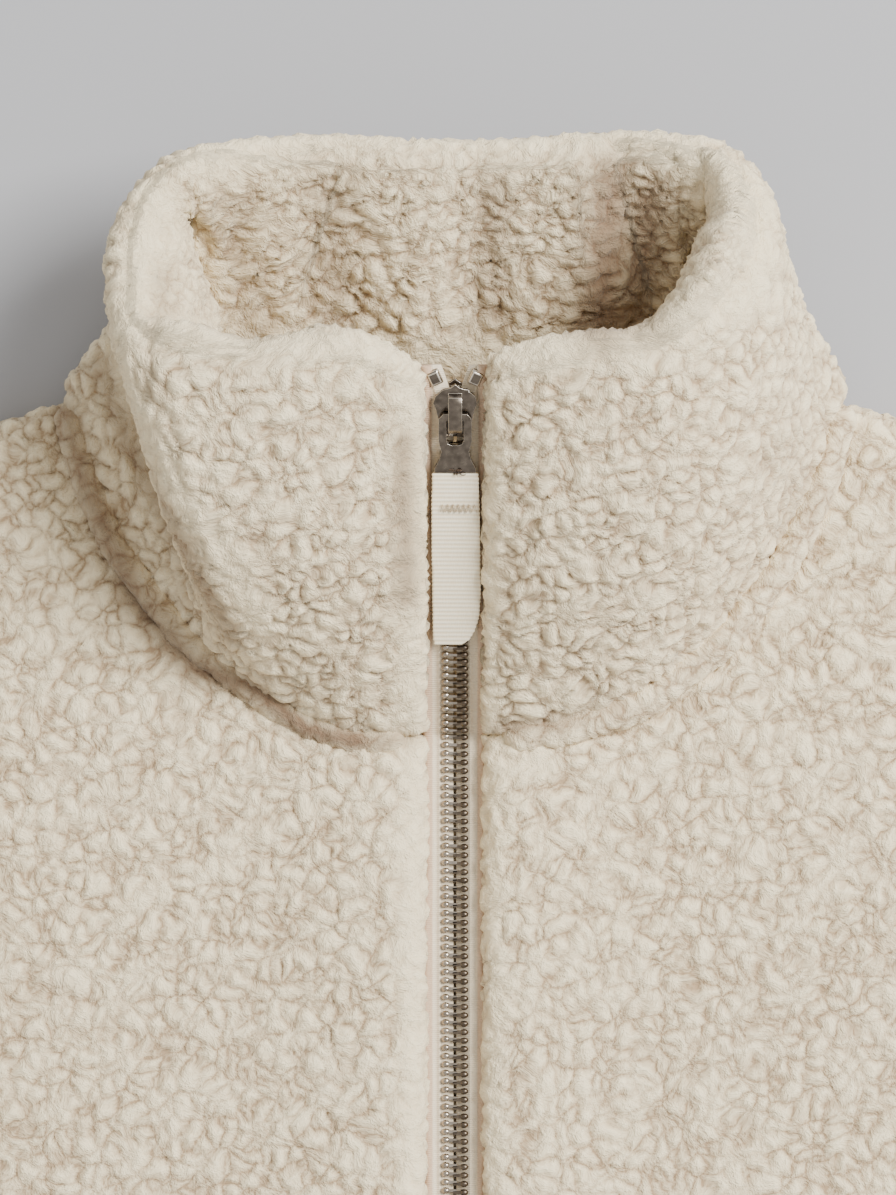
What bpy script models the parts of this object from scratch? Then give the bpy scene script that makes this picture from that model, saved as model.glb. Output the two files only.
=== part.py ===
"""Funnel neck sherpa jacket, laid flat with its front up and its collar standing open.

Metres, +Z up. The back lies on the ground plane z = 0, the neck points to +Y, and the
wearer's left is +X. The origin is on the ground under the middle of the whole outline.
"""

import math

import bpy
import numpy as np

# Where the front neck seam crosses the zip, along Y. Heights below are above the ground.
NECK_Y = 0.1736

# Cloth: a curly pile on a knitted back, one wall from backing to curl tips.
CLOTH_THICK = 0.010
EDGE_THICK = 0.0035
EDGE_ROUND = 0.012
SEAM_GAP = 0.0003
COLLAR_HALF_AT_SEAM = 0.0050
COLLAR_HALF_AT_RIM = 0.0085
COLLAR_HALF_AT_EDGE = 0.0022

# Body, measured on the laid garment from the front neck seam at the zip.
HEM_DROP = 0.545
HEM_HALF_WIDTH = 0.268
CHEST_HALF_WIDTH = 0.278
UNDERARM_DROP = 0.150
SHOULDER_X = 0.240
SHOULDER_Y = 0.078
NECK_POINT_X = 0.131
NECK_POINT_Y = 0.112
BACK_NECK_Y = 0.096
FRONT_EDGE_X = 0.0100

# Sleeve: its outer and under edges from the armhole to the cuff.
CUFF_WIDTH = 0.124
CUFF_CORNER = (0.585, -0.388)
CUFF_LEAN = math.radians(50)
SHOULDER_BEND = (0.318, 0.012)
SLEEVE_SLIT = 0.0016

# Zip, at its real sizes.
TAPE_REACH = 0.0130
TAPE_THICK = 0.0010
TAPE_PARTING = 0.0010
TAPE_SPREAD = 0.0040
CHAIN_WIDTH = 0.0093
CHAIN_HEIGHT = 0.0018
FRONT_LIFT = 0.0038
FRONT_LIFT_RUN = 0.060
SLIDER_WIDTH = 0.0143
SLIDER_LENGTH = 0.0165
SLIDER_Y = 0.1078
HINGE_Y = 0.1065
ZIP_TOP_Y = 0.1205
CHAIN_TOP_Y = 0.1060
PLATE_THICK = 0.0012
BRIDGE_WIDTH = 0.0043
BRIDGE_THICK = 0.0012
TAB_WIDTH = 0.0107
TAB_WAIST = 0.0090
TAB_FOOT = 0.0133
TAB_SLOT = 0.0056
TAB_LENGTH = 0.0205
TAB_THICK = 0.0017
RIBBON_WIDTH = 0.0150
RIBBON_THICK = 0.0017
TAB_PLAY = 0.0006
RIBBON_LIE = 0.0010
STOP_SIZE = (0.0042, 0.0050, 0.0024)
STOP_X = 0.0066
STOP_Y = 0.1172
STOP_LEAN = math.radians(24)
BOX_SIZE = (0.0125, 0.0120, 0.0030)
HEM_TURN = 0.0040

# Where the zip turns up into the collar, and the part of the collar that it is sewn behind.
KINK_Y = 0.0005
FOOT_Y = 0.0020
RIM_ROWS = 4
ZIP_COLUMNS = 3

# The funnel collar, a row for each station from the wearer's right zip edge round the back
# to the left one. Seam and rim are points of the wall's middle, lift and lean move it up
# and outwards half way between them.
COLLAR_COLUMNS = (
    "seam_x", "seam_y", "seam_z", "rim_x", "rim_y", "rim_z", "lift", "lean",
)
COLLAR_ROWS = (
    (-0.0100, 0.0000, 0.0175, -0.0105, 0.1200, 0.0850, 0.005, 0.000),
    (-0.0340, 0.0005, 0.0188, -0.0350, 0.1325, 0.0920, 0.011, 0.000),
    (-0.0500, 0.0070, 0.0180, -0.0650, 0.1270, 0.0930, 0.014, 0.000),
    (-0.0660, 0.0160, 0.0180, -0.0980, 0.1330, 0.0885, 0.016, 0.003),
    (-0.0890, 0.0340, 0.0172, -0.1070, 0.1480, 0.0815, -0.004, -0.013),
    (-0.1110, 0.0620, 0.0168, -0.1080, 0.1620, 0.0745, -0.010, -0.022),
    (-0.1235, 0.0900, 0.0166, -0.1020, 0.1770, 0.0690, -0.007, -0.018),
    (-0.1300, 0.1110, 0.0165, -0.0880, 0.1890, 0.0640, -0.004, -0.008),
    (-0.1180, 0.1090, 0.0100, -0.0680, 0.1935, 0.0600, -0.002, -0.004),
    (-0.0600, 0.0994, 0.0060, -0.0340, 0.1960, 0.0560, -0.002, 0.000),
    (0.0000, 0.0960, 0.0060, 0.0060, 0.1945, 0.0550, -0.002, 0.000),
    (0.0600, 0.0994, 0.0060, 0.0440, 0.1970, 0.0560, -0.002, 0.000),
    (0.1180, 0.1090, 0.0100, 0.0770, 0.1945, 0.0612, -0.002, -0.004),
    (0.1300, 0.1110, 0.0160, 0.0880, 0.1880, 0.0650, -0.002, -0.006),
    (0.1235, 0.0900, 0.0166, 0.0950, 0.1740, 0.0730, 0.002, -0.004),
    (0.1090, 0.0620, 0.0168, 0.0930, 0.1590, 0.0820, 0.006, 0.000),
    (0.0880, 0.0340, 0.0172, 0.0820, 0.1460, 0.0890, 0.009, 0.002),
    (0.0620, 0.0120, 0.0180, 0.0640, 0.1320, 0.0920, 0.011, 0.000),
    (0.0340, 0.0030, 0.0188, 0.0360, 0.1300, 0.0920, 0.010, 0.000),
    (0.0100, 0.0000, 0.0175, 0.0105, 0.1240, 0.0872, 0.005, 0.000),
)
COLLAR_CENTRE = np.array([0.0, 0.11])

# How finely the collar is cut into cells, with more of them along its folded left ridge.
COLLAR_AROUND = 46
COLLAR_UP = 8
RIDGE_STATIONS = (2.97, 3.35, 3.72, 4.08)

# The collar's foot steps in from the seam so far that it clears the panels, and its inside
# is pressed thin at the two neck points, where front, back and shoulder meet.
FOOT_ROWS = 5
CORNER_SPAN = 0.9
CORNER_CLEAR = 0.0030
CORNER_PINCH = 0.6
PINCH_SPAN = 2.2

# A skin is moved in by steps wherever a cell of it shrinks below this share of its size.
THINNING_ROUNDS = 30
THINNING_STEP = 0.92
LEAST_CELL_SHARE = 0.30

# Upright folds inside the back collar: x, width and depth of each.
COLLAR_FOLDS = (
    (-0.042, 0.010, -0.0040),
    (-0.016, 0.011, 0.0040),
    (0.012, 0.010, -0.0035),
    (0.036, 0.010, 0.0045),
    (0.056, 0.009, -0.0050),
)

# Soft folds in the laid cloth: x and y of one end, x and y of the other, width, height.
FOLDS = (
    (-0.128, 0.086, -0.104, 0.050, 0.007, -0.0030),
    (-0.150, 0.080, -0.232, 0.020, 0.018, 0.0025),
    (0.128, 0.072, 0.112, 0.040, 0.009, -0.0020),
    (0.150, 0.078, 0.232, 0.012, 0.018, 0.0025),
    (-0.268, -0.170, -0.175, -0.100, 0.016, 0.0040),
    (0.268, -0.165, 0.180, -0.090, 0.016, 0.0040),
    (-0.255, -0.260, -0.150, -0.235, 0.020, 0.0030),
    (0.255, -0.285, 0.140, -0.250, 0.021, 0.0030),
    (-0.110, -0.540, -0.125, -0.420, 0.022, 0.0035),
    (0.150, -0.540, 0.135, -0.400, 0.024, 0.0035),
    (-0.215, -0.535, -0.205, -0.455, 0.016, -0.0025),
    (0.060, -0.535, 0.066, -0.450, 0.016, -0.0020),
    (-0.300, -0.150, -0.395, -0.055, 0.017, 0.0045),
    (0.300, -0.155, 0.385, -0.050, 0.017, 0.0045),
    (-0.325, -0.205, -0.455, -0.120, 0.019, 0.0040),
    (0.330, -0.200, 0.450, -0.130, 0.018, 0.0040),
    (-0.400, -0.270, -0.505, -0.235, 0.014, -0.0030),
    (0.395, -0.262, 0.500, -0.215, 0.015, -0.0030),
    (-0.440, -0.330, -0.560, -0.290, 0.018, 0.0035),
    (0.450, -0.345, 0.545, -0.275, 0.018, 0.0035),
)

CREAM_PILE = ("cream_sherpa_pile", "DED7C8", 0.95, 0.0)
CREAM_TAPE = ("cream_zip_tape", "D9CDBC", 0.80, 0.0)
CREAM_RIBBON = ("cream_grosgrain", "DDD5C4", 0.75, 0.0)
AGED_NICKEL = ("aged_nickel", "8A8279", 0.38, 1.0)
DARK_NICKEL = ("dark_nickel", "7A7064", 0.42, 1.0)


def clear_scene():
    for obj in list(bpy.data.objects):
        bpy.data.objects.remove(obj, do_unlink=True)


def linear(hex_colour):
    values = [int(hex_colour[i:i + 2], 16) / 255 for i in (0, 2, 4)]
    return [v / 12.92 if v <= 0.04045 else ((v + 0.055) / 1.055) ** 2.4 for v in values]


def finish(look):
    name, hex_colour, roughness, metallic = look
    material = bpy.data.materials.get(name) or bpy.data.materials.new(name)
    material.use_nodes = True
    shader = material.node_tree.nodes["Principled BSDF"]
    shader.inputs["Base Color"].default_value = (*linear(hex_colour), 1)
    shader.inputs["Roughness"].default_value = roughness
    shader.inputs["Metallic"].default_value = metallic
    return material


def add_object(name, points, faces, look, parent=None, origin=(0, 0, 0)):
    """One closed piece from world points. Its origin is given in the world too."""
    mesh = bpy.data.meshes.new(name)
    moved = np.asarray(points, float) - np.asarray(origin, float)
    mesh.from_pydata([tuple(p) for p in moved], [], [tuple(f) for f in faces])
    mesh.materials.append(finish(look))
    mesh.shade_smooth()
    mesh.set_sharp_from_angle(angle=math.radians(40))
    obj = bpy.data.objects.new(name, mesh)
    bpy.context.scene.collection.objects.link(obj)
    obj.location = origin
    if parent is not None:
        obj.parent = parent
        obj.location = np.asarray(origin, float) - np.asarray(parent.location, float)
    return obj


def column(rows, columns, name):
    return np.array([row[columns.index(name)] for row in rows])


def through(values, stations):
    """A smooth curve through evenly numbered values, read at fractional row numbers."""
    last = len(values) - 1
    first = np.clip(np.floor(stations).astype(int), 0, last - 1)
    t = stations - first
    before = values[np.clip(first - 1, 0, last)]
    here = values[first]
    after = values[first + 1]
    beyond = values[np.clip(first + 2, 0, last)]
    return 0.5 * (
        2 * here
        + (after - before) * t
        + (2 * before - 5 * here + 4 * after - beyond) * t ** 2
        + (3 * here - before - 3 * after + beyond) * t ** 3
    )


def smooth_step(value):
    t = np.clip(value, 0, 1)
    return t * t * (3 - 2 * t)


def rounding(distance, reach):
    """0 to 1 along a quarter circle, from an edge to where the wall has its full height."""
    t = 1 - np.clip(np.asarray(distance) / reach, 0, 1)
    return np.sqrt(np.maximum(0, 1 - t * t))


def spaced(length, inner):
    """Places along a length, close together at both ends so that the edges come out round."""
    near = np.array([0.0, 0.07, 0.25, 0.60, 1.0]) * EDGE_ROUND
    middle = np.linspace(EDGE_ROUND, length - EDGE_ROUND, inner + 2)[1:-1]
    return np.concatenate([near, middle, length - near[::-1]])


def wall_faces(rows, columns):
    """Faces of a closed wall whose two skins are grids of rows by columns, lower skin first."""
    skin = rows * columns
    faces = []
    for r in range(rows - 1):
        for c in range(columns - 1):
            a = r * columns + c
            quad = (a, a + 1, a + columns + 1, a + columns)
            faces.append(quad[::-1])
            faces.append(tuple(i + skin for i in quad))
    border = [c for c in range(columns)]
    border += [r * columns + columns - 1 for r in range(1, rows)]
    border += [(rows - 1) * columns + c for c in range(columns - 2, -1, -1)]
    border += [r * columns for r in range(rows - 2, 0, -1)]
    for a, b in zip(border, border[1:] + border[:1]):
        faces.append((a, b, b + skin, a + skin))
    return faces


def add_wall(name, lower, upper, look):
    rows, columns = lower.shape[:2]
    points = np.concatenate([lower.reshape(-1, 3), upper.reshape(-1, 3)])
    return add_object(name, points, wall_faces(rows, columns), look)


def ring_faces(rings, around, start=0, outwards=True):
    faces = []
    for r in range(rings - 1):
        for i in range(around):
            a = start + r * around + i
            b = start + r * around + (i + 1) % around
            quad = (a, b, b + around, a + around)
            faces.append(quad if outwards else quad[::-1])
    return faces


def add_tube(name, outer, inner, look):
    """A closed wall between two stacks of rings, open at both ends of the tube."""
    rings, around = outer.shape[:2]
    skin = rings * around
    faces = ring_faces(rings, around) + ring_faces(rings, around, skin, False)
    for i in range(around):
        j = (i + 1) % around
        faces.append((j, i, i + skin, j + skin))
        top = (rings - 1) * around
        faces.append((top + i, top + j, top + j + skin, top + i + skin))
    points = np.concatenate([outer.reshape(-1, 3), inner.reshape(-1, 3)])
    return add_object(name, points, faces, look)


def fold_height(x, y):
    """Height that the soft folds add at a place on the laid cloth."""
    height = np.zeros(np.broadcast(x, y).shape)
    for x1, y1, x2, y2, width, rise in FOLDS:
        along_x = x2 - x1
        along_y = y2 - y1
        squared = along_x ** 2 + along_y ** 2
        t = np.clip(((x - x1) * along_x + (y - y1) * along_y) / squared, 0, 1)
        away = np.hypot(x - x1 - t * along_x, y - y1 - t * along_y)
        fade = 0.35 + 0.65 * np.sin(np.pi * np.clip(t, 0.02, 0.98))
        height += rise * fade * np.exp(-((away / width) ** 2))
    return height


def side_x(y):
    """Half width of the laid body: side seam below the underarm, armhole above it."""
    below = np.clip((y + HEM_DROP) / (HEM_DROP - UNDERARM_DROP), 0, 1)
    above = np.clip((y + UNDERARM_DROP) / (SHOULDER_Y + UNDERARM_DROP), 0, 1)
    seam = HEM_HALF_WIDTH + (CHEST_HALF_WIDTH - HEM_HALF_WIDTH) * below
    armhole = CHEST_HALF_WIDTH + (SHOULDER_X - CHEST_HALF_WIDTH) * above
    return np.where(above > 0, armhole, seam)


def wall_height(*edge_distances):
    """Height of the cloth at distances from its cut edges."""
    share = np.ones(np.broadcast(*edge_distances).shape)
    for distance in edge_distances:
        share = share * rounding(distance, EDGE_ROUND)
    return EDGE_THICK + (CLOTH_THICK - EDGE_THICK) * share


def back_panel():
    heights = spaced(HEM_DROP + SHOULDER_Y, 9)
    side = side_x(heights - HEM_DROP)
    width_steps = spaced(2 * CHEST_HALF_WIDTH, 17) / CHEST_HALF_WIDTH - 1
    x = side[:, None] * width_steps[None, :]
    top_x = SHOULDER_X * np.abs(width_steps)
    slope = (SHOULDER_Y - NECK_POINT_Y) / (SHOULDER_X - NECK_POINT_X)
    shoulder = NECK_POINT_Y + (top_x - NECK_POINT_X) * slope
    neck = BACK_NECK_Y + (NECK_POINT_Y - BACK_NECK_Y) * (top_x / NECK_POINT_X) ** 2
    top = np.where(top_x > NECK_POINT_X, shoulder, neck)
    share = heights / heights[-1]
    y = -HEM_DROP + share[:, None] * (top + HEM_DROP)[None, :]
    lower = np.stack([x, y + NECK_Y, np.zeros(x.shape)], axis=-1)
    upper = np.stack([x, y + NECK_Y, np.full(x.shape, CLOTH_THICK)], axis=-1)
    return add_wall("back_panel", lower, upper, CREAM_PILE)


def front_underside(x):
    """Height of a front's inner face: on the back at the side, lifted over the zip tape."""
    rise = smooth_step(1 - (np.abs(x) - TAPE_REACH) / FRONT_LIFT_RUN)
    return CLOTH_THICK + SEAM_GAP + FRONT_LIFT * rise


def neck_rows(side):
    """The neck seam of one front, zip first, at the stations where the collar is read."""
    seam_x = column(COLLAR_ROWS, COLLAR_COLUMNS, "seam_x")
    seam_y = column(COLLAR_ROWS, COLLAR_COLUMNS, "seam_y")
    point = int(np.argmax(seam_x * side))
    stations = collar_stations()
    mine = stations[stations < point] if side < 0 else stations[stations > point][::-1]
    short_of_point = np.abs(through(seam_x, mine)) < abs(seam_x[point]) - SEAM_GAP
    stations = np.concatenate([mine[short_of_point], [point]])
    return through(seam_x, stations), through(seam_y, stations)


def distance_to(path, x, y):
    """Distance in plan from places on the cloth to a seam given as a path of points."""
    nearest = np.full(x.shape, np.inf)
    for (x1, y1), (x2, y2) in zip(path[:-1], path[1:]):
        squared = (x2 - x1) ** 2 + (y2 - y1) ** 2
        t = np.clip(((x - x1) * (x2 - x1) + (y - y1) * (y2 - y1)) / squared, 0, 1)
        away = np.hypot(x - x1 - t * (x2 - x1), y - y1 - t * (y2 - y1))
        nearest = np.minimum(nearest, away)
    return nearest


def front_panel(name, side):
    neck_x, neck_y = neck_rows(side)
    shoulder = spaced(SHOULDER_X - abs(neck_x[-1]), 5)[1:]
    share = shoulder / shoulder[-1]
    top_x = np.concatenate([np.abs(neck_x), abs(neck_x[-1]) + shoulder])
    top_y = np.concatenate([neck_y, neck_y[-1] + (SHOULDER_Y - neck_y[-1]) * share])
    across = (top_x - FRONT_EDGE_X) / (side_x(top_y) - FRONT_EDGE_X)
    up = spaced(HEM_DROP, 11) / HEM_DROP
    y = -HEM_DROP + up[:, None] * (top_y + HEM_DROP)[None, :]
    x = FRONT_EDGE_X + across[None, :] * (side_x(y) - FRONT_EDGE_X)
    to_zip = x - FRONT_EDGE_X
    to_side = side_x(y) - x
    to_top = distance_to(list(zip(top_x, top_y)), x, y)
    height = wall_height(to_zip, to_side, y + HEM_DROP, to_top)
    soft = rounding(np.minimum(to_top, np.minimum(to_zip, to_side)), 3 * EDGE_ROUND)
    x = side * x
    under = front_underside(x)
    top = under + height + fold_height(x, y) * soft
    lower = np.stack([x, y + NECK_Y, under], axis=-1)[:, ::side]
    upper = np.stack([x, y + NECK_Y, top], axis=-1)[:, ::side]
    return add_wall(name, lower, upper, CREAM_PILE)


def sleeve_edges(side):
    """Outer and under edge of a laid sleeve, armhole first."""
    lean = np.array([math.cos(CUFF_LEAN + math.pi / 2), -math.sin(CUFF_LEAN + math.pi / 2)])
    corner = np.array(CUFF_CORNER)
    across = np.array([-math.sin(CUFF_LEAN), -math.cos(CUFF_LEAN)])
    rows = np.concatenate([[0, 0.012], np.linspace(0.06, 0.94, 11), [0.988, 1]])
    shoulder = np.array([SHOULDER_X, SHOULDER_Y])
    under_start = np.array([CHEST_HALF_WIDTH, -UNDERARM_DROP])
    armhole = shoulder - under_start
    gap = np.array([armhole[1], -armhole[0]]) * SEAM_GAP / np.hypot(*armhole)
    shoulder = shoulder + gap
    under_start = under_start + gap
    bend = np.array(SHOULDER_BEND)
    over = np.array([
        (1 - t) ** 2 * shoulder + 2 * t * (1 - t) * bend + t * t * corner for t in rows
    ])
    under_end = corner + across * CUFF_WIDTH
    middle = (under_start + under_end) / 2 - lean * 0.010
    under = np.array([
        (1 - t) ** 2 * under_start + 2 * t * (1 - t) * middle + t * t * under_end
        for t in rows
    ])
    over[:, 0] *= side
    under[:, 0] *= side
    return over, under


def sleeve(name, side):
    over, under = sleeve_edges(side)
    outer = []
    inner = []
    full = 2 * CLOTH_THICK + SLEEVE_SLIT
    for k in range(len(over)):
        width = math.hypot(*(over[k] - under[k]))
        direction = (over[k] - under[k]) / width
        ends = min(k, len(over) - 1 - k)
        height = full - (0.0040, 0.0012, 0.0)[min(ends, 2)]
        steps = spaced(width, 3)
        x = under[k][0] + direction[0] * steps
        y = under[k][1] + direction[1] * steps
        soft = rounding(np.minimum(steps, width - steps), 3 * EDGE_ROUND)
        round_side = rounding(np.minimum(steps, width - steps), full / 2)
        top = full / 2 + (height - full / 2) * round_side + fold_height(x, y) * soft
        bottom = full / 2 * (1 - rounding(np.minimum(steps, width - steps), full / 2))
        outer.append(ring_of(x, y, bottom, top))
        reach = CLOTH_THICK + steps * (width - 2 * CLOTH_THICK) / width
        x = under[k][0] + direction[0] * reach
        y = under[k][1] + direction[1] * reach
        slit = SLEEVE_SLIT * (0.25 + 0.75 * round_side)
        low = np.full(len(steps), CLOTH_THICK)
        inner.append(ring_of(x, y, low, low + slit))
    outer = np.array(outer)[::side]
    inner = np.array(inner)[::side]
    return add_tube(name, outer, inner, CREAM_PILE)


def ring_of(x, y, bottom, top):
    """A closed ring: along the bottom from the under edge, and back along the top."""
    low = np.stack([x, y + NECK_Y, bottom], axis=-1)
    high = np.stack([x, y + NECK_Y, top], axis=-1)
    return np.concatenate([low, high[::-1][1:-1]])


def collar_middle(stations, shares):
    """Points of the collar wall's middle, at station numbers and shares of its height."""
    table = {name: column(COLLAR_ROWS, COLLAR_COLUMNS, name) for name in COLLAR_COLUMNS}
    read = {name: through(values, stations)[:, None] for name, values in table.items()}
    v = shares[None, :]
    point = np.stack([
        read["seam_" + axis] + (read["rim_" + axis] - read["seam_" + axis]) * v
        for axis in "xyz"
    ], axis=-1)
    bump = np.sin(np.pi * v ** 0.9)
    seam = np.stack([read["seam_x"][:, 0], read["seam_y"][:, 0]], axis=-1)
    outwards = seam - COLLAR_CENTRE
    outwards /= np.maximum(np.linalg.norm(outwards, axis=1), 1e-9)[:, None]
    point[..., 0] += outwards[:, :1] * read["lean"] * bump
    point[..., 1] += outwards[:, 1:] * read["lean"] * bump
    point[..., 2] += read["lift"] * bump
    return point


def collar_normals(middle):
    around = np.gradient(middle, axis=0)
    up = np.gradient(middle, axis=1)
    normal = np.cross(up, around)
    return normal / np.linalg.norm(normal, axis=-1, keepdims=True)


def collar_stations():
    last = len(COLLAR_ROWS) - 1
    near = np.array([0.0, 0.04, 0.14, 0.32, 0.56])
    middle = np.linspace(0.82, last - 0.82, COLLAR_AROUND)
    return np.sort(np.concatenate([near, middle, RIDGE_STATIONS, last - near[::-1]]))


def collar_shares():
    near = np.array([0.0, 0.012, 0.035, 0.075])
    rim = np.array([0.90, 0.94, 0.97, 0.99, 1.0])
    return np.concatenate([near, np.linspace(0.14, 0.84, COLLAR_UP), rim])


def stations_to_corner(stations):
    """How many stations away the nearer neck point is, where front, back and shoulder meet."""
    seam_x = column(COLLAR_ROWS, COLLAR_COLUMNS, "seam_x")
    away = [np.abs(stations - int(pick(seam_x))) for pick in (np.argmin, np.argmax)]
    return np.minimum(*away)


def facing(skin):
    """Area direction of each cell of a skin, from its two diagonals."""
    return np.cross(skin[1:, 1:] - skin[:-1, :-1], skin[:-1, 1:] - skin[1:, :-1])


def thinned(middle, normal, half):
    """Half thickness, less where the wall turns so sharply that its skin would fold over."""
    base = facing(middle)
    for _ in range(THINNING_ROUNDS):
        cells = facing(middle + normal * half[..., None])
        share = np.sum(cells * base, axis=-1) / np.sum(base * base, axis=-1)
        tight = np.pad(share < LEAST_CELL_SHARE, 1)
        around = tight[1:, 1:] | tight[:-1, 1:] | tight[1:, :-1] | tight[:-1, :-1]
        wider = np.pad(around, 1)
        around |= wider[:-2, 1:-1] | wider[2:, 1:-1] | wider[1:-1, :-2] | wider[1:-1, 2:]
        half = np.where(around, half * THINNING_STEP, half)
    return half


def collar_skins():
    """Inner and outer skin of the collar, and the stations that they were read at."""
    stations = collar_stations()
    shares = collar_shares()
    middle = collar_middle(stations, shares)
    normal = collar_normals(middle)
    v = shares[None, :]
    last = len(COLLAR_ROWS) - 1
    to_zip = np.minimum(stations, last - stations)[:, None]
    half = COLLAR_HALF_AT_SEAM + (COLLAR_HALF_AT_RIM - COLLAR_HALF_AT_SEAM) * smooth_step(v * 1.6)
    edge = COLLAR_HALF_AT_EDGE
    at_rim = rounding((1 - v), 0.10)
    at_seam = rounding(v, 0.07)
    at_zip = rounding(to_zip, 0.75)
    under_zip = smooth_step((to_zip - 0.20) / 0.9)
    outer_half = (half - edge) * at_rim * at_seam * at_zip + edge * at_rim
    inner_half = (half - edge) * at_rim * at_seam * under_zip + edge * at_rim
    corner = smooth_step(1 - stations_to_corner(stations) / PINCH_SPAN)[:, None]
    inner_half *= 1 - CORNER_PINCH * corner
    x = middle[..., 0]
    wave = np.zeros(x.shape)
    back = smooth_step((middle[..., 1] - 0.115) / 0.03) * np.sin(np.pi * np.clip(v, 0, 1)) ** 0.5
    back = back * smooth_step((3.2 - np.abs(stations - 10.5)) / 1.0)[:, None]
    for fold_x, width, depth in COLLAR_FOLDS:
        wave += depth * np.exp(-(((x - fold_x) / width) ** 2))
    middle = middle - normal * (wave * back)[..., None]
    seam_out = collar_seam_step(stations, middle, normal, outer_half, inner_half)
    middle = middle + seam_out * (1 - smooth_step(v / 0.5))[..., None]
    outer = middle + normal * thinned(middle, normal, outer_half)[..., None]
    inner = middle - normal * thinned(middle, -normal, inner_half)[..., None]
    outer[..., 1] += NECK_Y
    inner[..., 1] += NECK_Y
    return inner, outer


def seam_directions(stations, seam):
    """Level directions from the neck seam towards the panel that it is sewn to."""
    seam_x = column(COLLAR_ROWS, COLLAR_COLUMNS, "seam_x")
    points = (int(np.argmin(seam_x)), int(np.argmax(seam_x)))
    away = np.tile(np.array([0.0, -1.0]), (len(stations), 1))
    for front in (stations < points[0], stations > points[1]):
        along = np.gradient(seam[front], axis=0)
        normal = np.stack([-along[:, 1], along[:, 0]], axis=-1)
        normal /= np.linalg.norm(normal, axis=1)[:, None]
        outwards = np.sum(normal * (seam[front] - COLLAR_CENTRE), axis=1)
        away[front] = normal * np.sign(outwards)[:, None]
    return away


def collar_seam_step(stations, middle, normal, outer_half, inner_half):
    """How far the collar's foot stands in from the neck seam, so that it clears the panels."""
    away = seam_directions(stations, middle[:, 0, :2])
    reach = np.zeros(len(middle))
    for row in range(FOOT_ROWS):
        from_seam = middle[:, row, :2] - middle[:, 0, :2]
        for half in (outer_half[:, row], -inner_half[:, row]):
            skin = from_seam + normal[:, row, :2] * half[:, None]
            reach = np.maximum(reach, np.sum(skin * away, axis=1))
    corner = np.clip(1 - stations_to_corner(stations) / CORNER_SPAN, 0, 1)
    step = -(SEAM_GAP + reach)[:, None] * away
    step[:, 1] += CORNER_CLEAR * corner
    return np.concatenate([step, np.zeros((len(step), 1))], axis=1)[:, None, :]


def collar():
    inner, outer = collar_skins()
    return add_wall("collar", inner, outer, CREAM_PILE)


def zip_spine():
    """Middle of the zip tape, hem to top: Y, Z, and the slope of its run, at many places."""
    inner = collar_skins()[0]
    body_y = np.linspace(-HEM_DROP + HEM_TURN, KINK_Y, 14)
    body_z = np.full(len(body_y), front_underside(FRONT_EDGE_X))
    rise_y = np.linspace(FOOT_Y, ZIP_TOP_Y, 30)
    near_zip = list(range(ZIP_COLUMNS)) + list(range(-ZIP_COLUMNS, 0))
    edges = inner[near_zip, :-RIM_ROWS]
    rise_z = np.min([np.interp(rise_y, e[:, 1] - NECK_Y, e[:, 2]) for e in edges], axis=0)
    top = np.polyfit(rise_y[-12:-4], rise_z[-12:-4], 1)
    rise_z[-4:] = np.polyval(top, rise_y[-4:])
    y = np.concatenate([body_y, rise_y])
    z = np.concatenate([body_z, rise_z - SEAM_GAP])
    slope = np.arctan(np.gradient(z, y))
    return y, z - (SEAM_GAP + TAPE_THICK / 2) / np.cos(slope), slope


def zip_frame(y):
    """The tape's middle at a place along the zip, with the directions along and out of it."""
    spine_y, spine_z, slope = zip_spine()
    angle = float(np.interp(y, spine_y, slope))
    middle = np.array([0.0, y + NECK_Y, float(np.interp(y, spine_y, spine_z))])
    along = np.array([0.0, math.cos(angle), math.sin(angle)])
    out = np.array([0.0, -math.sin(angle), math.cos(angle)])
    return middle, along, out


def along_zip(places, across, outs):
    """Rows of points that follow the zip: one for each place, at these X and heights."""
    rows = []
    for y, xs in zip(places, across):
        middle, _, out = zip_frame(y)
        rows.append([middle + out * n + np.array([x, 0, 0]) for x, n in zip(xs, outs)])
    return np.array(rows)


def zip_places(start_y, top_y):
    body = np.linspace(start_y, KINK_Y, 14)
    rise = np.linspace(FOOT_Y, top_y, 18)
    return np.concatenate([body, rise])


def zip_tape(name, side):
    places = zip_places(-HEM_DROP + HEM_TURN, ZIP_TOP_Y)
    spread = TAPE_SPREAD * smooth_step((places - CHAIN_TOP_Y) / (ZIP_TOP_Y - CHAIN_TOP_Y))
    parting = side * (TAPE_PARTING / 2 + spread)
    across = np.stack([parting, np.full(len(places), side * TAPE_REACH)], axis=-1)
    if side < 0:
        across = across[:, ::-1]
    half = TAPE_THICK / 2
    lower = along_zip(places, across, (-half, -half))
    upper = along_zip(places, across, (half, half))
    return add_wall(name, lower, upper, CREAM_TAPE)


def zip_chain():
    places = zip_places(-HEM_DROP + HEM_TURN + BOX_SIZE[1] + SEAM_GAP, CHAIN_TOP_Y)
    half = CHAIN_WIDTH / 2
    across = np.tile(np.array([-half, -half * 0.86, half * 0.86, half]), (len(places), 1))
    foot = TAPE_THICK / 2 + SEAM_GAP
    shoulder = foot + CHAIN_HEIGHT * 0.55
    top = foot + CHAIN_HEIGHT
    lower = along_zip(places, across, (foot, foot, foot, foot))
    upper = along_zip(places, across, (shoulder, top, top, shoulder))
    return add_wall("zip_chain", lower, upper, DARK_NICKEL)


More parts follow.
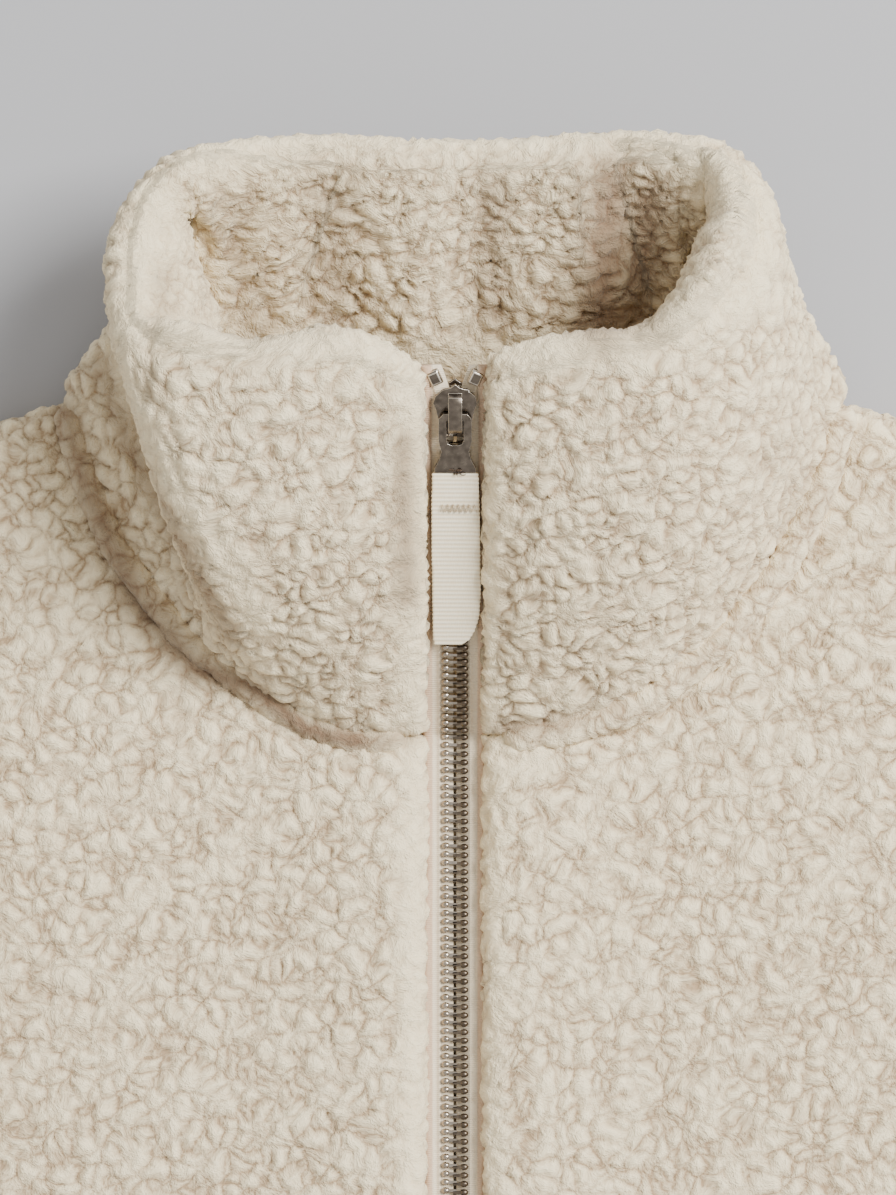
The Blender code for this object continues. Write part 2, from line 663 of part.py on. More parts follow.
def plate(outline, low, high, frame):
    """Points and faces of a plate: an outline of (across, along) between two heights."""
    middle, along, out = frame
    points = []
    for n in (low, high):
        points += [middle + np.array([x, 0, 0]) + along * t + out * n for x, t in outline]
    count = len(outline)
    faces = [tuple(range(count))[::-1], tuple(range(count, 2 * count))]
    for i in range(count):
        j = (i + 1) % count
        faces.append((i, j, j + count, i + count))
    return points, faces


def join_solids(base, others):
    """Fuses helper solids into the first one. The helpers stay hidden."""
    for other in others:
        other.hide_render = True
        other.hide_viewport = True
        other.display_type = "WIRE"
        joint = base.modifiers.new(other.name, "BOOLEAN")
        joint.operation = "UNION"
        joint.object = other


def slider():
    frame = zip_frame(SLIDER_Y)
    half_w = SLIDER_WIDTH / 2
    half_l = SLIDER_LENGTH / 2
    body = [
        (-half_w * 0.62, -half_l), (half_w * 0.62, -half_l), (half_w * 0.74, -half_l * 0.55),
        (half_w * 0.86, 0.0), (half_w, half_l * 0.28), (half_w * 0.90, half_l * 0.58),
        (half_w * 0.55, half_l * 0.86), (half_w * 0.22, half_l * 0.93), (0.0, half_l * 1.08),
        (-half_w * 0.22, half_l * 0.93), (-half_w * 0.55, half_l * 0.86),
        (-half_w * 0.90, half_l * 0.58), (-half_w, half_l * 0.28), (-half_w * 0.86, 0.0),
        (-half_w * 0.74, -half_l * 0.55),
    ]
    wedge_w = TAPE_SPREAD * 0.45
    wedge = [
        (-wedge_w, half_l * 0.45), (wedge_w, half_l * 0.45),
        (wedge_w, half_l * 0.80), (-wedge_w, half_l * 0.80),
    ]
    chain_top = TAPE_THICK / 2 + SEAM_GAP + CHAIN_HEIGHT
    low = -TAPE_THICK / 2 - SEAM_GAP - PLATE_THICK
    high = chain_top + SEAM_GAP
    top = add_object("slider", *plate(body, high, high + PLATE_THICK, frame), AGED_NICKEL)
    under = add_object("slider_under", *plate(body, low, low + PLATE_THICK, frame), AGED_NICKEL)
    bite = PLATE_THICK / 2
    core = add_object(
        "slider_core", *plate(wedge, low + bite, high + bite, frame), AGED_NICKEL
    )
    bridge = add_object("slider_bridge", *bridge_solid(frame, high), AGED_NICKEL)
    join_solids(top, (core, under, bridge))
    return top


def bridge_solid(frame, plate_low):
    """The strap over the tab's bar: up from the crown, along, and down near the mouth."""
    middle, along, out = frame
    base = plate_low + PLATE_THICK / 2
    inside = plate_low + PLATE_THICK + TAB_THICK + 2 * TAB_PLAY
    start = SLIDER_LENGTH * 0.36
    end = -SLIDER_LENGTH * 0.44
    outer = [
        (start, base), (start - 0.0004, inside), (start - 0.0022, inside + BRIDGE_THICK),
        (end + 0.0022, inside + BRIDGE_THICK), (end + 0.0004, inside), (end, base),
    ]
    inner = [
        (start - BRIDGE_THICK, base), (start - BRIDGE_THICK - 0.0002, inside - 0.0004),
        (start - 0.0026, inside), (end + 0.0026, inside),
        (end + BRIDGE_THICK + 0.0002, inside - 0.0004), (end + BRIDGE_THICK, base),
    ]
    points = []
    for x in (-BRIDGE_WIDTH / 2, BRIDGE_WIDTH / 2):
        for t, n in outer + inner:
            points.append(middle + np.array([x, 0, 0]) + along * t + out * n)
    count = len(outer)
    faces = []
    for i in range(count - 1):
        a, b = i, i + 1
        c, d = count + i, count + i + 1
        faces.append((a, b, d, c))
        faces.append((2 * count + a, 2 * count + c, 2 * count + d, 2 * count + b))
        faces.append((a, 2 * count + a, 2 * count + b, b))
        faces.append((c, d, 2 * count + d, 2 * count + c))
    faces.append((0, count, 3 * count, 2 * count))
    last = count - 1
    faces.append((last, 2 * count + last, 3 * count + last, count + last))
    return points, faces


def hinge_frame():
    """The pull's hinge, on the axis of the tab's top bar, with the zip's directions there."""
    middle, along, out = zip_frame(SLIDER_Y)
    chain_top = TAPE_THICK / 2 + SEAM_GAP + CHAIN_HEIGHT
    height = chain_top + SEAM_GAP + PLATE_THICK + TAB_PLAY + TAB_THICK / 2
    return middle + along * (HINGE_Y - SLIDER_Y) + out * height, along, out


def pull_tab(parent):
    frame = hinge_frame()
    half = TAB_WIDTH / 2
    slot = TAB_SLOT / 2
    bar = TAB_THICK / 2
    foot = -TAB_LENGTH + bar
    outer = [
        (-half * 0.72, bar), (half * 0.72, bar), (half, -bar), (half, -0.0085),
        (TAB_WAIST / 2, -0.0122), (half * 0.97, -0.0152), (TAB_FOOT / 2, foot + 0.0015),
        (TAB_FOOT / 2, foot), (-TAB_FOOT / 2, foot), (-TAB_FOOT / 2, foot + 0.0015),
        (-half * 0.97, -0.0152), (-TAB_WAIST / 2, -0.0122), (-half, -0.0085), (-half, -bar),
    ]
    inner = [
        (-slot * 0.6, -bar), (slot * 0.6, -bar), (slot, -0.0016), (slot, -0.0060),
        (slot, -0.0085), (slot * 0.8, -0.0096), (slot * 0.4, -0.0100), (slot * 0.1, -0.0100),
        (-slot * 0.1, -0.0100), (-slot * 0.4, -0.0100), (-slot * 0.8, -0.0096),
        (-slot, -0.0085), (-slot, -0.0060), (-slot, -0.0016),
    ]
    middle, along, out = frame
    points = []
    for n in (-TAB_THICK / 2, TAB_THICK / 2):
        for x, t in outer + inner:
            points.append(middle + np.array([x, 0, 0]) + along * t + out * n)
    count = len(outer)
    faces = []
    for i in range(count):
        j = (i + 1) % count
        faces.append((i, i + count, j + count, j))
        faces.append((2 * count + i, 2 * count + j, 3 * count + j, 3 * count + i))
        faces.append((i, j, 2 * count + j, 2 * count + i))
        faces.append((count + j, count + i, 3 * count + i, 3 * count + j))
    faces = [face[::-1] for face in faces]
    return add_object("pull_tab", points, faces, AGED_NICKEL, parent, parent.location)


def pull_ribbon(parent):
    """The folded grosgrain pull: it starts at the tab's foot and follows the zip's curve."""
    hinge, along, out = hinge_frame()
    start = TAB_LENGTH - TAB_THICK / 2 + SEAM_GAP
    steps = np.array([0.0, 0.004, 0.010, 0.018, 0.026, 0.034, 0.042, 0.049, 0.054, 0.0575, 0.059])
    half = RIBBON_WIDTH / 2
    left = np.array([1.0, 1.0, 1.02, 1.02, 1.02, 1.0, 1.0, 0.98, 0.97, 0.95, 0.92])
    right = np.array([1.0, 1.02, 1.05, 1.08, 1.10, 1.12, 1.12, 1.06, 0.86, 0.60, 0.25])
    base = hinge - along * start
    rows = []
    for low_high in (-RIBBON_THICK / 2, RIBBON_THICK / 2):
        skin = []
        for t, l, r in zip(steps, left, right):
            y = base[1] - NECK_Y - t * along[1]
            middle, run, normal = zip_frame(y)
            rest = TAPE_THICK / 2 + SEAM_GAP + CHAIN_HEIGHT + RIBBON_LIE + RIBBON_THICK / 2
            settle = smooth_step(t / 0.030)
            straight = base - along * t
            laid = middle + normal * rest
            centre = straight * (1 - settle) + laid * settle
            skin.append([
                centre + normal * low_high + np.array([x, 0, 0])
                for x in (-half * l, -half * 0.4, half * 0.1, half * r)
            ])
        rows.append(np.array(skin)[::-1])
    points = np.concatenate([rows[0].reshape(-1, 3), rows[1].reshape(-1, 3)])
    faces = wall_faces(*rows[0].shape[:2])
    return add_object("pull_ribbon", points, faces, CREAM_RIBBON, parent, parent.location)


def top_stop(name, side):
    """A small clamp on the tape's end, turned outwards as the tapes part above the slider."""
    width, length, height = STOP_SIZE
    middle, along, out = zip_frame(STOP_Y)
    lean = side * STOP_LEAN
    across = np.array([math.cos(lean), 0, 0]) - along * math.sin(lean)
    up = np.array([math.sin(lean), 0, 0]) + along * math.cos(lean)
    centre = middle + np.array([side * STOP_X, 0, 0])
    foot = TAPE_THICK / 2 + SEAM_GAP
    points = []
    for n, scale in ((foot, 1.0), (foot + height * 0.7, 1.0), (foot + height, 0.75)):
        for a, b in ((-1, -1), (1, -1), (1, 1), (-1, 1)):
            place = centre + across * a * width / 2 * scale + up * b * length / 2 * scale
            points.append(place + out * n)
    faces = [(3, 2, 1, 0), (8, 9, 10, 11)] + ring_faces(3, 4)
    return add_object(name, points, faces, AGED_NICKEL)


def zip_box():
    """The retainer box that holds both tape ends at the hem."""
    frame = zip_frame(-HEM_DROP + HEM_TURN + BOX_SIZE[1] / 2)
    half_w = BOX_SIZE[0] / 2
    half_l = BOX_SIZE[1] / 2
    outline = [(-half_w, -half_l), (half_w, -half_l), (half_w, half_l), (-half_w, half_l)]
    foot = TAPE_THICK / 2 + SEAM_GAP
    box = add_object("zip_box", *plate(outline, foot, foot + BOX_SIZE[2], frame), AGED_NICKEL)
    round_off = box.modifiers.new("edges", "BEVEL")
    round_off.width = 0.0006
    round_off.segments = 2
    return box


def pull():
    """The metal tab and its ribbon, under an empty on the hinge."""
    hinge = bpy.data.objects.new("pull_hinge", None)
    hinge.location = hinge_frame()[0]
    bpy.context.scene.collection.objects.link(hinge)
    pull_tab(hinge)
    pull_ribbon(hinge)


def main():
    clear_scene()
    back_panel()
    front_panel("front_right", -1)
    front_panel("front_left", 1)
    sleeve("sleeve_right", -1)
    sleeve("sleeve_left", 1)
    collar()
    zip_tape("zip_tape_right", -1)
    zip_tape("zip_tape_left", 1)
    zip_chain()
    zip_box()
    top_stop("top_stop_right", -1)
    top_stop("top_stop_left", 1)
    slider()
    pull()


main()
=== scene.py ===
# %% [markdown]
# # Funnel neck sherpa jacket
# A short cream jacket of curly pile, laid flat with its front up. Its funnel collar stands
# open above the chest, a chunky metal zip closes the front to the top, and a folded
# grosgrain ribbon hangs from the zip's tab. This lesson dresses the plain solids of the
# jacket, piece by piece, so that they look like pile, woven tape and worn nickel.

# %% Set up
import math

import bmesh
import bpy
import numpy as np
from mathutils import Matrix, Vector


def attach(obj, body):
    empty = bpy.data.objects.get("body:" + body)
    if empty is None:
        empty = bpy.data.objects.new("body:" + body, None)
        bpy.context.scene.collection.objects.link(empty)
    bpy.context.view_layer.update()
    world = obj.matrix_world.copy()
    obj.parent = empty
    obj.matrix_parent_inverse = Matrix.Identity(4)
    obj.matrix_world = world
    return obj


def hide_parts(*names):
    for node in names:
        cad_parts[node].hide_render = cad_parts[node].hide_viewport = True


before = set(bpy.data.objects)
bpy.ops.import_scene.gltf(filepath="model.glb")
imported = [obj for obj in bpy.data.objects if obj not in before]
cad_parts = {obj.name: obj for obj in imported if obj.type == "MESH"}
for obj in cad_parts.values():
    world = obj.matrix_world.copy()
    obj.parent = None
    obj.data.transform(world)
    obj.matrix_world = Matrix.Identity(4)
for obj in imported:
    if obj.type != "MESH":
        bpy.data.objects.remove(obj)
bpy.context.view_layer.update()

MM = 0.001
NECK_Y = 0.1736

# %% [markdown]
# ## Camera
# The picture looks straight down from about a metre and a half, so the camera hangs over
# the collar and isn't turned. A long lens at that height keeps the standing collar from
# looking larger than it is.

# %% Camera
camera_data = bpy.data.cameras.new("camera")
camera_data.sensor_fit = "HORIZONTAL"
camera_data.sensor_width = 36
camera_data.lens = 177.9
camera_data.clip_end = 20
camera = bpy.data.objects.new("camera", camera_data)
camera.location = (-0.0023, NECK_Y + 0.046, 1.5)
bpy.context.scene.collection.objects.link(camera)
bpy.context.scene.camera = camera
print("Camera", camera.location.z, "m above the floor, lens", camera_data.lens, "mm")

# %% [markdown]
# ## Colours and nodes
# Colours are written as the hex values that a colour picker shows. Blender's shaders want
# them linear, so one function turns them round. A second one adds a node to a tree, sets
# its values and links its inputs, which is all that the materials and the Geometry Nodes
# trees below need.

# %% Colours and nodes


def linear(hex_colour):
    values = [int(hex_colour[i:i + 2], 16) / 255 for i in (0, 2, 4)]
    return (*[v / 12.92 if v <= 0.04045 else ((v + 0.055) / 1.055) ** 2.4 for v in values], 1)


def add(tree, kind, settings=None, **inputs):
    """A node with its settings. Inputs are values, or outputs of other nodes to link."""
    node = tree.nodes.new(kind)
    for key, value in (settings or {}).items():
        setattr(node, key, value)
    for key, value in inputs.items():
        key = key.replace("_", " ")
        socket = node.inputs[int(key[1:])] if key[1:].isdigit() else node.inputs[key]
        if isinstance(value, bpy.types.NodeSocket):
            tree.links.new(value, socket)
        else:
            socket.default_value = value
    return node


def maths(tree, operation, a, b=0.0, clamp=False):
    settings = {"operation": operation, "use_clamp": clamp}
    return add(tree, "ShaderNodeMath", settings, i0=a, i1=b).outputs[0]


def mix(tree, share, a, b):
    node = add(tree, "ShaderNodeMix", {"data_type": "RGBA"}, i0=share, i6=a, i7=b)
    return node.outputs[2]


def new_material(name, **values):
    """A Principled material, with the values that are the same all over it."""
    material = bpy.data.materials.new(name)
    material.use_nodes = True
    shader = material.node_tree.nodes["Principled BSDF"]
    for key, value in values.items():
        shader.inputs[key.replace("_", " ")].default_value = value
    return material, material.node_tree, shader


def bump(tree, shader, height, strength, distance):
    node = add(tree, "ShaderNodeBump", None, Height=height, Strength=strength, Distance=distance)
    tree.links.new(node.outputs[0], shader.inputs["Normal"])


# %% [markdown]
# ## Curls
# Sherpa pile is a loop pile that has been washed until it felts into small round curls,
# 4 to 9 mm across, with narrow tan valleys where the backing shows. Curls are like the
# cells of a Voronoi pattern: the distance to a cell's edge is 0 in a valley and largest on
# top of a curl. The same few nodes serve Geometry Nodes, which push the curls up, and the
# material, which colours the valleys, so that both always agree.

# %% Curls
CURL = 6.6 * MM
STRAND = 2.3 * MM
FIBRE = 1.8 * MM
FINER_INSIDE = 0.35
HOLLOW_MIDDLE = (0.0, NECK_Y + 0.150, 0.055)


def laid(tree, spot, inside):
    """A place pushed about by soft noise, so that no curl is a plain cell, and its felting."""
    away = add(tree, "ShaderNodeVectorMath", {"operation": "SUBTRACT"}, i0=spot, i1=HOLLOW_MIDDLE)
    finer = add(tree, "ShaderNodeVectorMath", {"operation": "SCALE"}, i0=away.outputs[0],
                Scale=maths(tree, "MULTIPLY", inside, FINER_INSIDE))
    place = add(tree, "ShaderNodeVectorMath", None, i0=spot, i1=finer.outputs[0]).outputs[0]
    warp = add(tree, "ShaderNodeTexNoise", None, Vector=place, Scale=0.55 / CURL, Detail=2.0)
    middle = add(tree, "ShaderNodeVectorMath", {"operation": "SUBTRACT"},
                 i0=warp.outputs["Color"], i1=(0.5, 0.5, 0.5))
    pushed = add(tree, "ShaderNodeVectorMath", {"operation": "SCALE"},
                 i0=middle.outputs[0], Scale=1.9 * CURL)
    moved = add(tree, "ShaderNodeVectorMath", None, i0=place, i1=pushed.outputs[0]).outputs[0]
    noise = add(tree, "ShaderNodeTexNoise", None, Vector=place, Scale=0.75 / CURL, Detail=1.0)
    felt = maths(tree, "MULTIPLY", maths(tree, "SUBTRACT", noise.outputs["Fac"], 0.47), 4.0, True)
    return moved, felt


def curls(tree, moved, felt):
    """Height of the pile: 1 on top of a curl, 0 in the valley between curls."""
    cells = add(tree, "ShaderNodeTexVoronoi", {"feature": "DISTANCE_TO_EDGE"},
                Vector=moved, Scale=1 / CURL, Randomness=1.0)
    edge = maths(tree, "ADD", maths(tree, "MULTIPLY", cells.outputs["Distance"], 3.0),
                 maths(tree, "MULTIPLY", felt, 0.45), True)
    return maths(tree, "POWER", edge, 0.5)


# %% [markdown]
# ## Pile material
# Washed wool and polyester pile on a knitted back. The fibres scatter light, so the pile
# is matt with a soft sheen at grazing angles, bright cream on the curls and warm tan in
# the valleys, partly the backing's own colour and partly painted shade where less light gets
# in. Where the pile has been brushed, along the zip and on folded edges, the curls blur into
# a pale even fluff; along the collar's rims and fold this paleness is also painted highlight.
# Marked troughs carry painted shade, which darkens the pile towards brown.

# %% Pile material


def pile_material():
    material, tree, shader = new_material(
        "felted_curly_pile", Roughness=0.92, Sheen_Weight=0.25, Sheen_Roughness=0.6,
        Sheen_Tint=linear("FFF6E8"), Specular_IOR_Level=0.12, IOR=1.53,
    )
    place = add(tree, "ShaderNodeAttribute", {"attribute_name": "laid_at"}).outputs["Vector"]
    felt, brushed, shade = (
        add(tree, "ShaderNodeAttribute", {"attribute_name": name}).outputs["Fac"]
        for name in ("felt", "brushed", "painted_shade")
    )
    # Brushed strips lose the valleys' tan; along the collar's rims and fold this paleness is
    # painted highlight.
    calm = maths(tree, "SUBTRACT", 1.0, maths(tree, "MULTIPLY", brushed, 0.85))
    fibres = add(tree, "ShaderNodeTexNoise", None, Vector=place, Scale=1 / FIBRE, Detail=2.2,
                 Roughness=0.8)
    fuzz = maths(tree, "MULTIPLY", maths(tree, "SUBTRACT", fibres.outputs["Fac"], 0.5), 1.9)
    height = curls(tree, place, maths(tree, "ADD", felt, fuzz))
    valley = maths(tree, "MULTIPLY", maths(tree, "SUBTRACT", 1.0, height, True), calm)
    cream = mix(tree, fibres.outputs["Fac"], linear("EED9AF"), linear("FFF2CE"))
    # Painted shade: the valleys between curls are darkened towards tan, partly the backing's
    # colour.
    wool = mix(tree, maths(tree, "MULTIPLY", valley, 1.15, True), cream, linear("AD9474"))
    # Painted shade: the marked troughs darken the pile towards brown.
    wool = mix(tree, maths(tree, "MULTIPLY", shade, 0.95, True), wool, linear("7A6049"))
    tree.links.new(wool, shader.inputs["Base Color"])
    bump(tree, shader, fibres.outputs["Fac"], 0.9, 1.2 * MM)
    return material


PILE = pile_material()
print("Curls", CURL / MM, "mm across, strands in them", STRAND / MM, "mm")

# %% [markdown]
# ## Cloth with enough points
# The plain solids have large flat faces, and curls need a point every millimetre or two.
# A voxel remesh wraps a solid in even small squares, which suits the collar, the fronts
# and the back. The sleeves are thin tubes whose slit it would close, so their triangles
# are cut at the middle of every edge that is too long. The same cutting makes the part of
# the fronts that the picture shows twice as fine.

# %% Cloth with enough points
NEAR = 1.75 * MM
FAR = 3.4 * MM
HIDDEN = 14 * MM
VIEW_HALF_WIDTH = 0.160
VIEW_FROM_Y = NECK_Y - 0.170
SLIT_HEIGHT = 0.0108
SLIT_HALF = 0.0010
SLEEVES_FROM_X = 0.27


def show(name, mesh):
    obj = bpy.data.objects.new(name, mesh)
    bpy.context.scene.collection.objects.link(obj)
    return obj


def plain_result(obj):
    """The plain mesh that an object's modifiers make. The modifiers are removed."""
    graph = bpy.context.evaluated_depsgraph_get()
    mesh = bpy.data.meshes.new_from_object(
        obj.evaluated_get(graph), preserve_all_data_layers=True, depsgraph=graph
    )
    obj.modifiers.clear()
    obj.data = mesh
    return mesh


def arrays_of(mesh):
    """Points, triangles and point normals of a mesh."""
    mesh.calc_loop_triangles()
    count = len(mesh.vertices)
    points, normals = np.empty(count * 3), np.empty(count * 3)
    triangles = np.empty(len(mesh.loop_triangles) * 3, int)
    mesh.vertices.foreach_get("co", points)
    mesh.vertices.foreach_get("normal", normals)
    mesh.loop_triangles.foreach_get("vertices", triangles)
    return points.reshape(-1, 3), triangles.reshape(-1, 3), normals.reshape(-1, 3)


def joined_copy(node, voxel):
    """A CAD node's mesh with its loose triangles joined, remeshed evenly if a size is given."""
    shape = bmesh.new()
    shape.from_mesh(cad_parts[node].data)
    bmesh.ops.remove_doubles(shape, verts=shape.verts, dist=0.02 * MM)
    mesh = bpy.data.meshes.new(node + "_pile")
    shape.to_mesh(mesh)
    shape.free()
    obj = show(node + "_pile", mesh)
    if voxel:
        remesh = obj.modifiers.new("even", "REMESH")
        remesh.mode = "VOXEL"
        remesh.voxel_size = voxel
        plain_result(obj)
    return obj


def wanted_edge(middle, normal):
    """Longest edge allowed at these places."""
    near = (np.abs(middle[:, 0]) < VIEW_HALF_WIDTH) & (middle[:, 1] > VIEW_FROM_Y)
    in_slit = np.abs(middle[:, 2] - SLIT_HEIGHT) < SLIT_HALF
    in_slit &= np.abs(middle[:, 0]) > SLEEVES_FROM_X
    return np.where((normal[:, 2] < -0.2) | in_slit, HIDDEN, np.where(near, NEAR, FAR))


def cut_once(points, triangles, normals):
    """Cuts each edge that is too long at its middle, and each triangle along those cuts."""
    ends = np.sort(triangles[:, [0, 1, 1, 2, 2, 0]].reshape(-1, 2), axis=1)
    keys, which = np.unique(ends[:, 0] * len(points) + ends[:, 1], return_inverse=True)
    edges = np.stack([keys // len(points), keys % len(points)], axis=1)
    normal = normals[edges].mean(1)
    middle = points[edges].mean(1)
    length = np.linalg.norm(points[edges[:, 0]] - points[edges[:, 1]], axis=1)
    long = length > wanted_edge(middle, normal)
    new = np.where(long, len(points) + np.cumsum(long) - 1, -1)
    cut = long[which].reshape(-1, 3)
    first = np.where(cut.sum(1) == 2, (np.argmin(cut, axis=1) + 1) % 3, np.argmax(cut, axis=1))
    turn = (first[:, None] + np.arange(3)) % 3
    a, b, c = np.take_along_axis(triangles, turn, 1).T
    m, n, o = np.take_along_axis(new[which].reshape(-1, 3), turn, 1).T
    pieces = [np.stack(t, 1)[cut.sum(1) == k] for k, t in (
        (0, (a, b, c)), (1, (a, m, c)), (1, (m, b, c)), (2, (m, b, n)), (2, (a, m, n)),
        (2, (a, n, c)), (3, (a, m, o)), (3, (m, b, n)), (3, (o, n, c)), (3, (m, n, o)),
    )]
    points = np.concatenate([points, middle[long]])
    return points, np.concatenate(pieces), np.concatenate([normals, normal[long]])


def cut_finely(obj, rounds):
    parts = arrays_of(obj.data)
    for _ in range(rounds):
        parts = cut_once(*parts)
    mesh = bpy.data.meshes.new(obj.name)
    mesh.from_pydata(parts[0], [], parts[1])
    obj.data = mesh


def points_of(mesh):
    co = np.empty(len(mesh.vertices) * 3)
    mesh.vertices.foreach_get("co", co)
    return co.reshape(-1, 3)


def mark(mesh, name, values):
    mesh.attributes.new(name, "FLOAT", "POINT").data.foreach_set("value", values.astype("f"))


# %% [markdown]
# ## Folds, brushed places and painted shade
# Some marks are laid in as short lines over the cloth. A trough presses the pile down and
# carries painted shade, as at the neck seam, beside the collar's fold and in the collar's
# hollow. A ridge lifts it. Brushed strips, where the pile was combed over an edge, lose their
# curls and are painted paler, which along the collar's rims and fold is painted highlight.
# Each line has two ends, a width and a depth in millimetres, measured from the neck seam at
# the zip.

# %% Folds, brushed places and painted shade
# x1, y1, x2, y2, half width, depth (a ridge has a negative depth), share of painted shade
FOLDS_AND_PAINTED_SHADE = (
    (-130, 108, -122, 80, 6.0, 3.0, 0.7), (-122, 80, -106, 44, 6.0, 3.0, 0.8),
    (-106, 44, -86, 22, 6.0, 2.6, 0.8), (-86, 22, -66, 15, 4.5, 2.4, 0.9),
    (-66, 15, -50, 2, 3.5, 2.4, 1.0), (-50, 2, -32, -2, 3.5, 2.2, 1.0),
    (-32, -2, -16, -1, 3.5, 1.4, 0.6), (14, 2, 34, 4, 3.2, 1.6, 0.6),
    (34, 4, 52, 12, 4.5, 0.9, 0.25), (108, 96, 116, 78, 8.0, 1.2, 0.2),
    (-118, 122, -109, 100, 5.0, 3.6, 0.55), (-109, 100, -97, 76, 5.0, 4.0, 0.65),
    (-97, 76, -83, 52, 5.0, 4.0, 0.65), (-83, 52, -73, 34, 4.5, 3.2, 0.6),
    (-108, 126, -98, 102, 5.5, -2.2, 0.0), (-98, 102, -87, 80, 5.5, -2.4, 0.0),
    (-87, 80, -74, 56, 5.5, -2.2, 0.0),
    # Painted shade in the collar's hollow: dark bands, darkest towards its right side.
    (51, 180, 47, 134, 11.0, 3.5, 0.9), (64, 175, 58, 136, 10.0, 2.0, 0.8),
    (-41, 178, -40, 140, 9.0, 3.0, 0.45), (12, 179, 12, 142, 8.0, 3.0, 0.5),
    (-17, 96, -16, 46, 4.5, 2.0, 0.7), (-4, 137, 44, 137, 5.0, -1.0, 0.0),
    (-18, 188, -18, 136, 8.0, -2.0, 0.0), (33, 188, 31, 140, 8.0, -2.0, 0.0),
    (-72, 172, -66, 132, 8.0, 1.5, 0.4), (-96, 150, -98, 110, 3.0, 1.5, 0.35),
)
# Swellings of the rim towards the hollow: x1, y1, x2, y2, half width, height
SWELLS = (
    (94, 184, 94, 150, 17, 8), (94, 150, 78, 130, 14, 6), (-84, 178, -84, 138, 15, 6),
)
# brushed strips, which along the collar's rims and fold are also painted highlight: x1, y1, x2,
# y2, half width
BRUSHED_AND_LIT = (
    (-14, -545, -14, 112, 6.0), (13, -545, 13, 0, 3.5), (12, 0, 12, 112, 2.0),
    (14, -12, 30, -10, 5.0),
    (-110, 128, -101, 104, 6.5), (-101, 104, -90, 82, 6.5), (-90, 82, -76, 60, 6.5),
    (-76, 60, -64, 36, 6.0), (-108, 132, -60, 128, 9.0), (-60, 128, -18, 124, 7.0),
    (18, 122, 60, 128, 7.0), (60, 128, 90, 140, 8.0), (-84, 190, -40, 199, 9.0),
    (-40, 199, 66, 198, 9.0), (66, 198, 98, 172, 9.0), (98, 172, 96, 142, 8.0),
    (-24, 127, 40, 127, 5.0), (-98, 176, -104, 138, 8.0),
)
# The middle of the collar's hollow, and the height above which cloth belongs to the collar
HOLLOW_Y = 150 * MM
COLLAR_ABOVE = 30 * MM


def along_line(x, y, x1, y1, x2, y2):
    """Distance in plan from points to a line with two ends, all in metres."""
    run = np.array([x2 - x1, y2 - y1])
    t = np.clip(((x - x1) * run[0] + (y - y1) * run[1]) / (run @ run), 0, 1)
    return np.hypot(x - x1 - t * run[0], y - y1 - t * run[1])


def soft(distance, width):
    return np.exp(-((distance / width) ** 2))


def hand_marks(mesh):
    """Presses in the troughs, and marks brushed strips, partly painted highlight, and painted
    shade.
    """
    co = points_of(mesh)
    normals = np.empty(len(co) * 3)
    mesh.vertices.foreach_get("normal", normals)
    normals = normals.reshape(-1, 3)
    x, y = co[:, 0], co[:, 1] - NECK_Y
    upwards = np.clip(normals[:, 2] * 3 + 0.2, 0, 1)
    depth = np.zeros(len(co))
    shade = np.zeros(len(co))
    brushed = np.zeros(len(co))
    for x1, y1, x2, y2, width, deep, dark in np.array(FOLDS_AND_PAINTED_SHADE) * ([MM] * 6 + [1]):
        near = soft(along_line(x, y, x1, y1, x2, y2), width)
        depth = np.maximum(depth, deep * near) if deep > 0 else np.minimum(depth, deep * near)
        shade = np.maximum(shade, dark * near)
    for x1, y1, x2, y2, width in np.array(BRUSHED_AND_LIT) * MM:
        brushed = np.maximum(brushed, soft(along_line(x, y, x1, y1, x2, y2), width))
    depth *= upwards
    inwards = -normals[:, 0] * x - normals[:, 1] * (y - HOLLOW_Y)
    facing_in = np.clip(inwards / np.hypot(x, y - HOLLOW_Y) * 4, 0, 1) * (co[:, 2] > COLLAR_ABOVE)
    for x1, y1, x2, y2, width, high in np.array(SWELLS) * MM:
        depth -= high * facing_in * soft(along_line(x, y, x1, y1, x2, y2), width)
    co -= normals * depth[:, None]
    mesh.vertices.foreach_set("co", co.ravel())
    # Painted shade: each trough's share, kept on faces that look up or into the collar's hollow.
    mark(mesh, "painted_shade", shade * np.maximum(upwards, facing_in))
    mark(mesh, "inside", facing_in)
    # Brushed strips; along the collar's rims and fold they are also painted highlight.
    mark(mesh, "brushed", brushed * upwards)


# %% [markdown]
# ## Pushing up the curls
# A Geometry Nodes tree moves every point out along its normal by the height of the curls
# there. It also keeps where the point lay before, so that the material's pattern sticks
# to the cloth. The cloth's underside, which rests on the table, stays as it is.

# %% Pushing up the curls


def new_tree(name, **inputs):
    """A Geometry Nodes tree with a geometry in and out, and named inputs for its sizes."""
    tree = bpy.data.node_groups.new(name, "GeometryNodeTree")
    face = tree.interface
    face.new_socket(name="Geometry", in_out="INPUT", socket_type="NodeSocketGeometry")
    for key, value in inputs.items():
        kind = "NodeSocketMaterial" if isinstance(value, bpy.types.Material) else "NodeSocketFloat"
        face.new_socket(name=key, in_out="INPUT", socket_type=kind).default_value = value
    face.new_socket(name="Geometry", in_out="OUTPUT", socket_type="NodeSocketGeometry")
    return tree, tree.nodes.new("NodeGroupInput"), tree.nodes.new("NodeGroupOutput")


def end_tree(tree, geometry, material, output):
    real = add(tree, "GeometryNodeRealizeInstances", None, i0=geometry)
    done = add(tree, "GeometryNodeSetMaterial", None, Geometry=real.outputs[0], Material=material)
    tree.links.new(done.outputs[0], output.inputs[0])


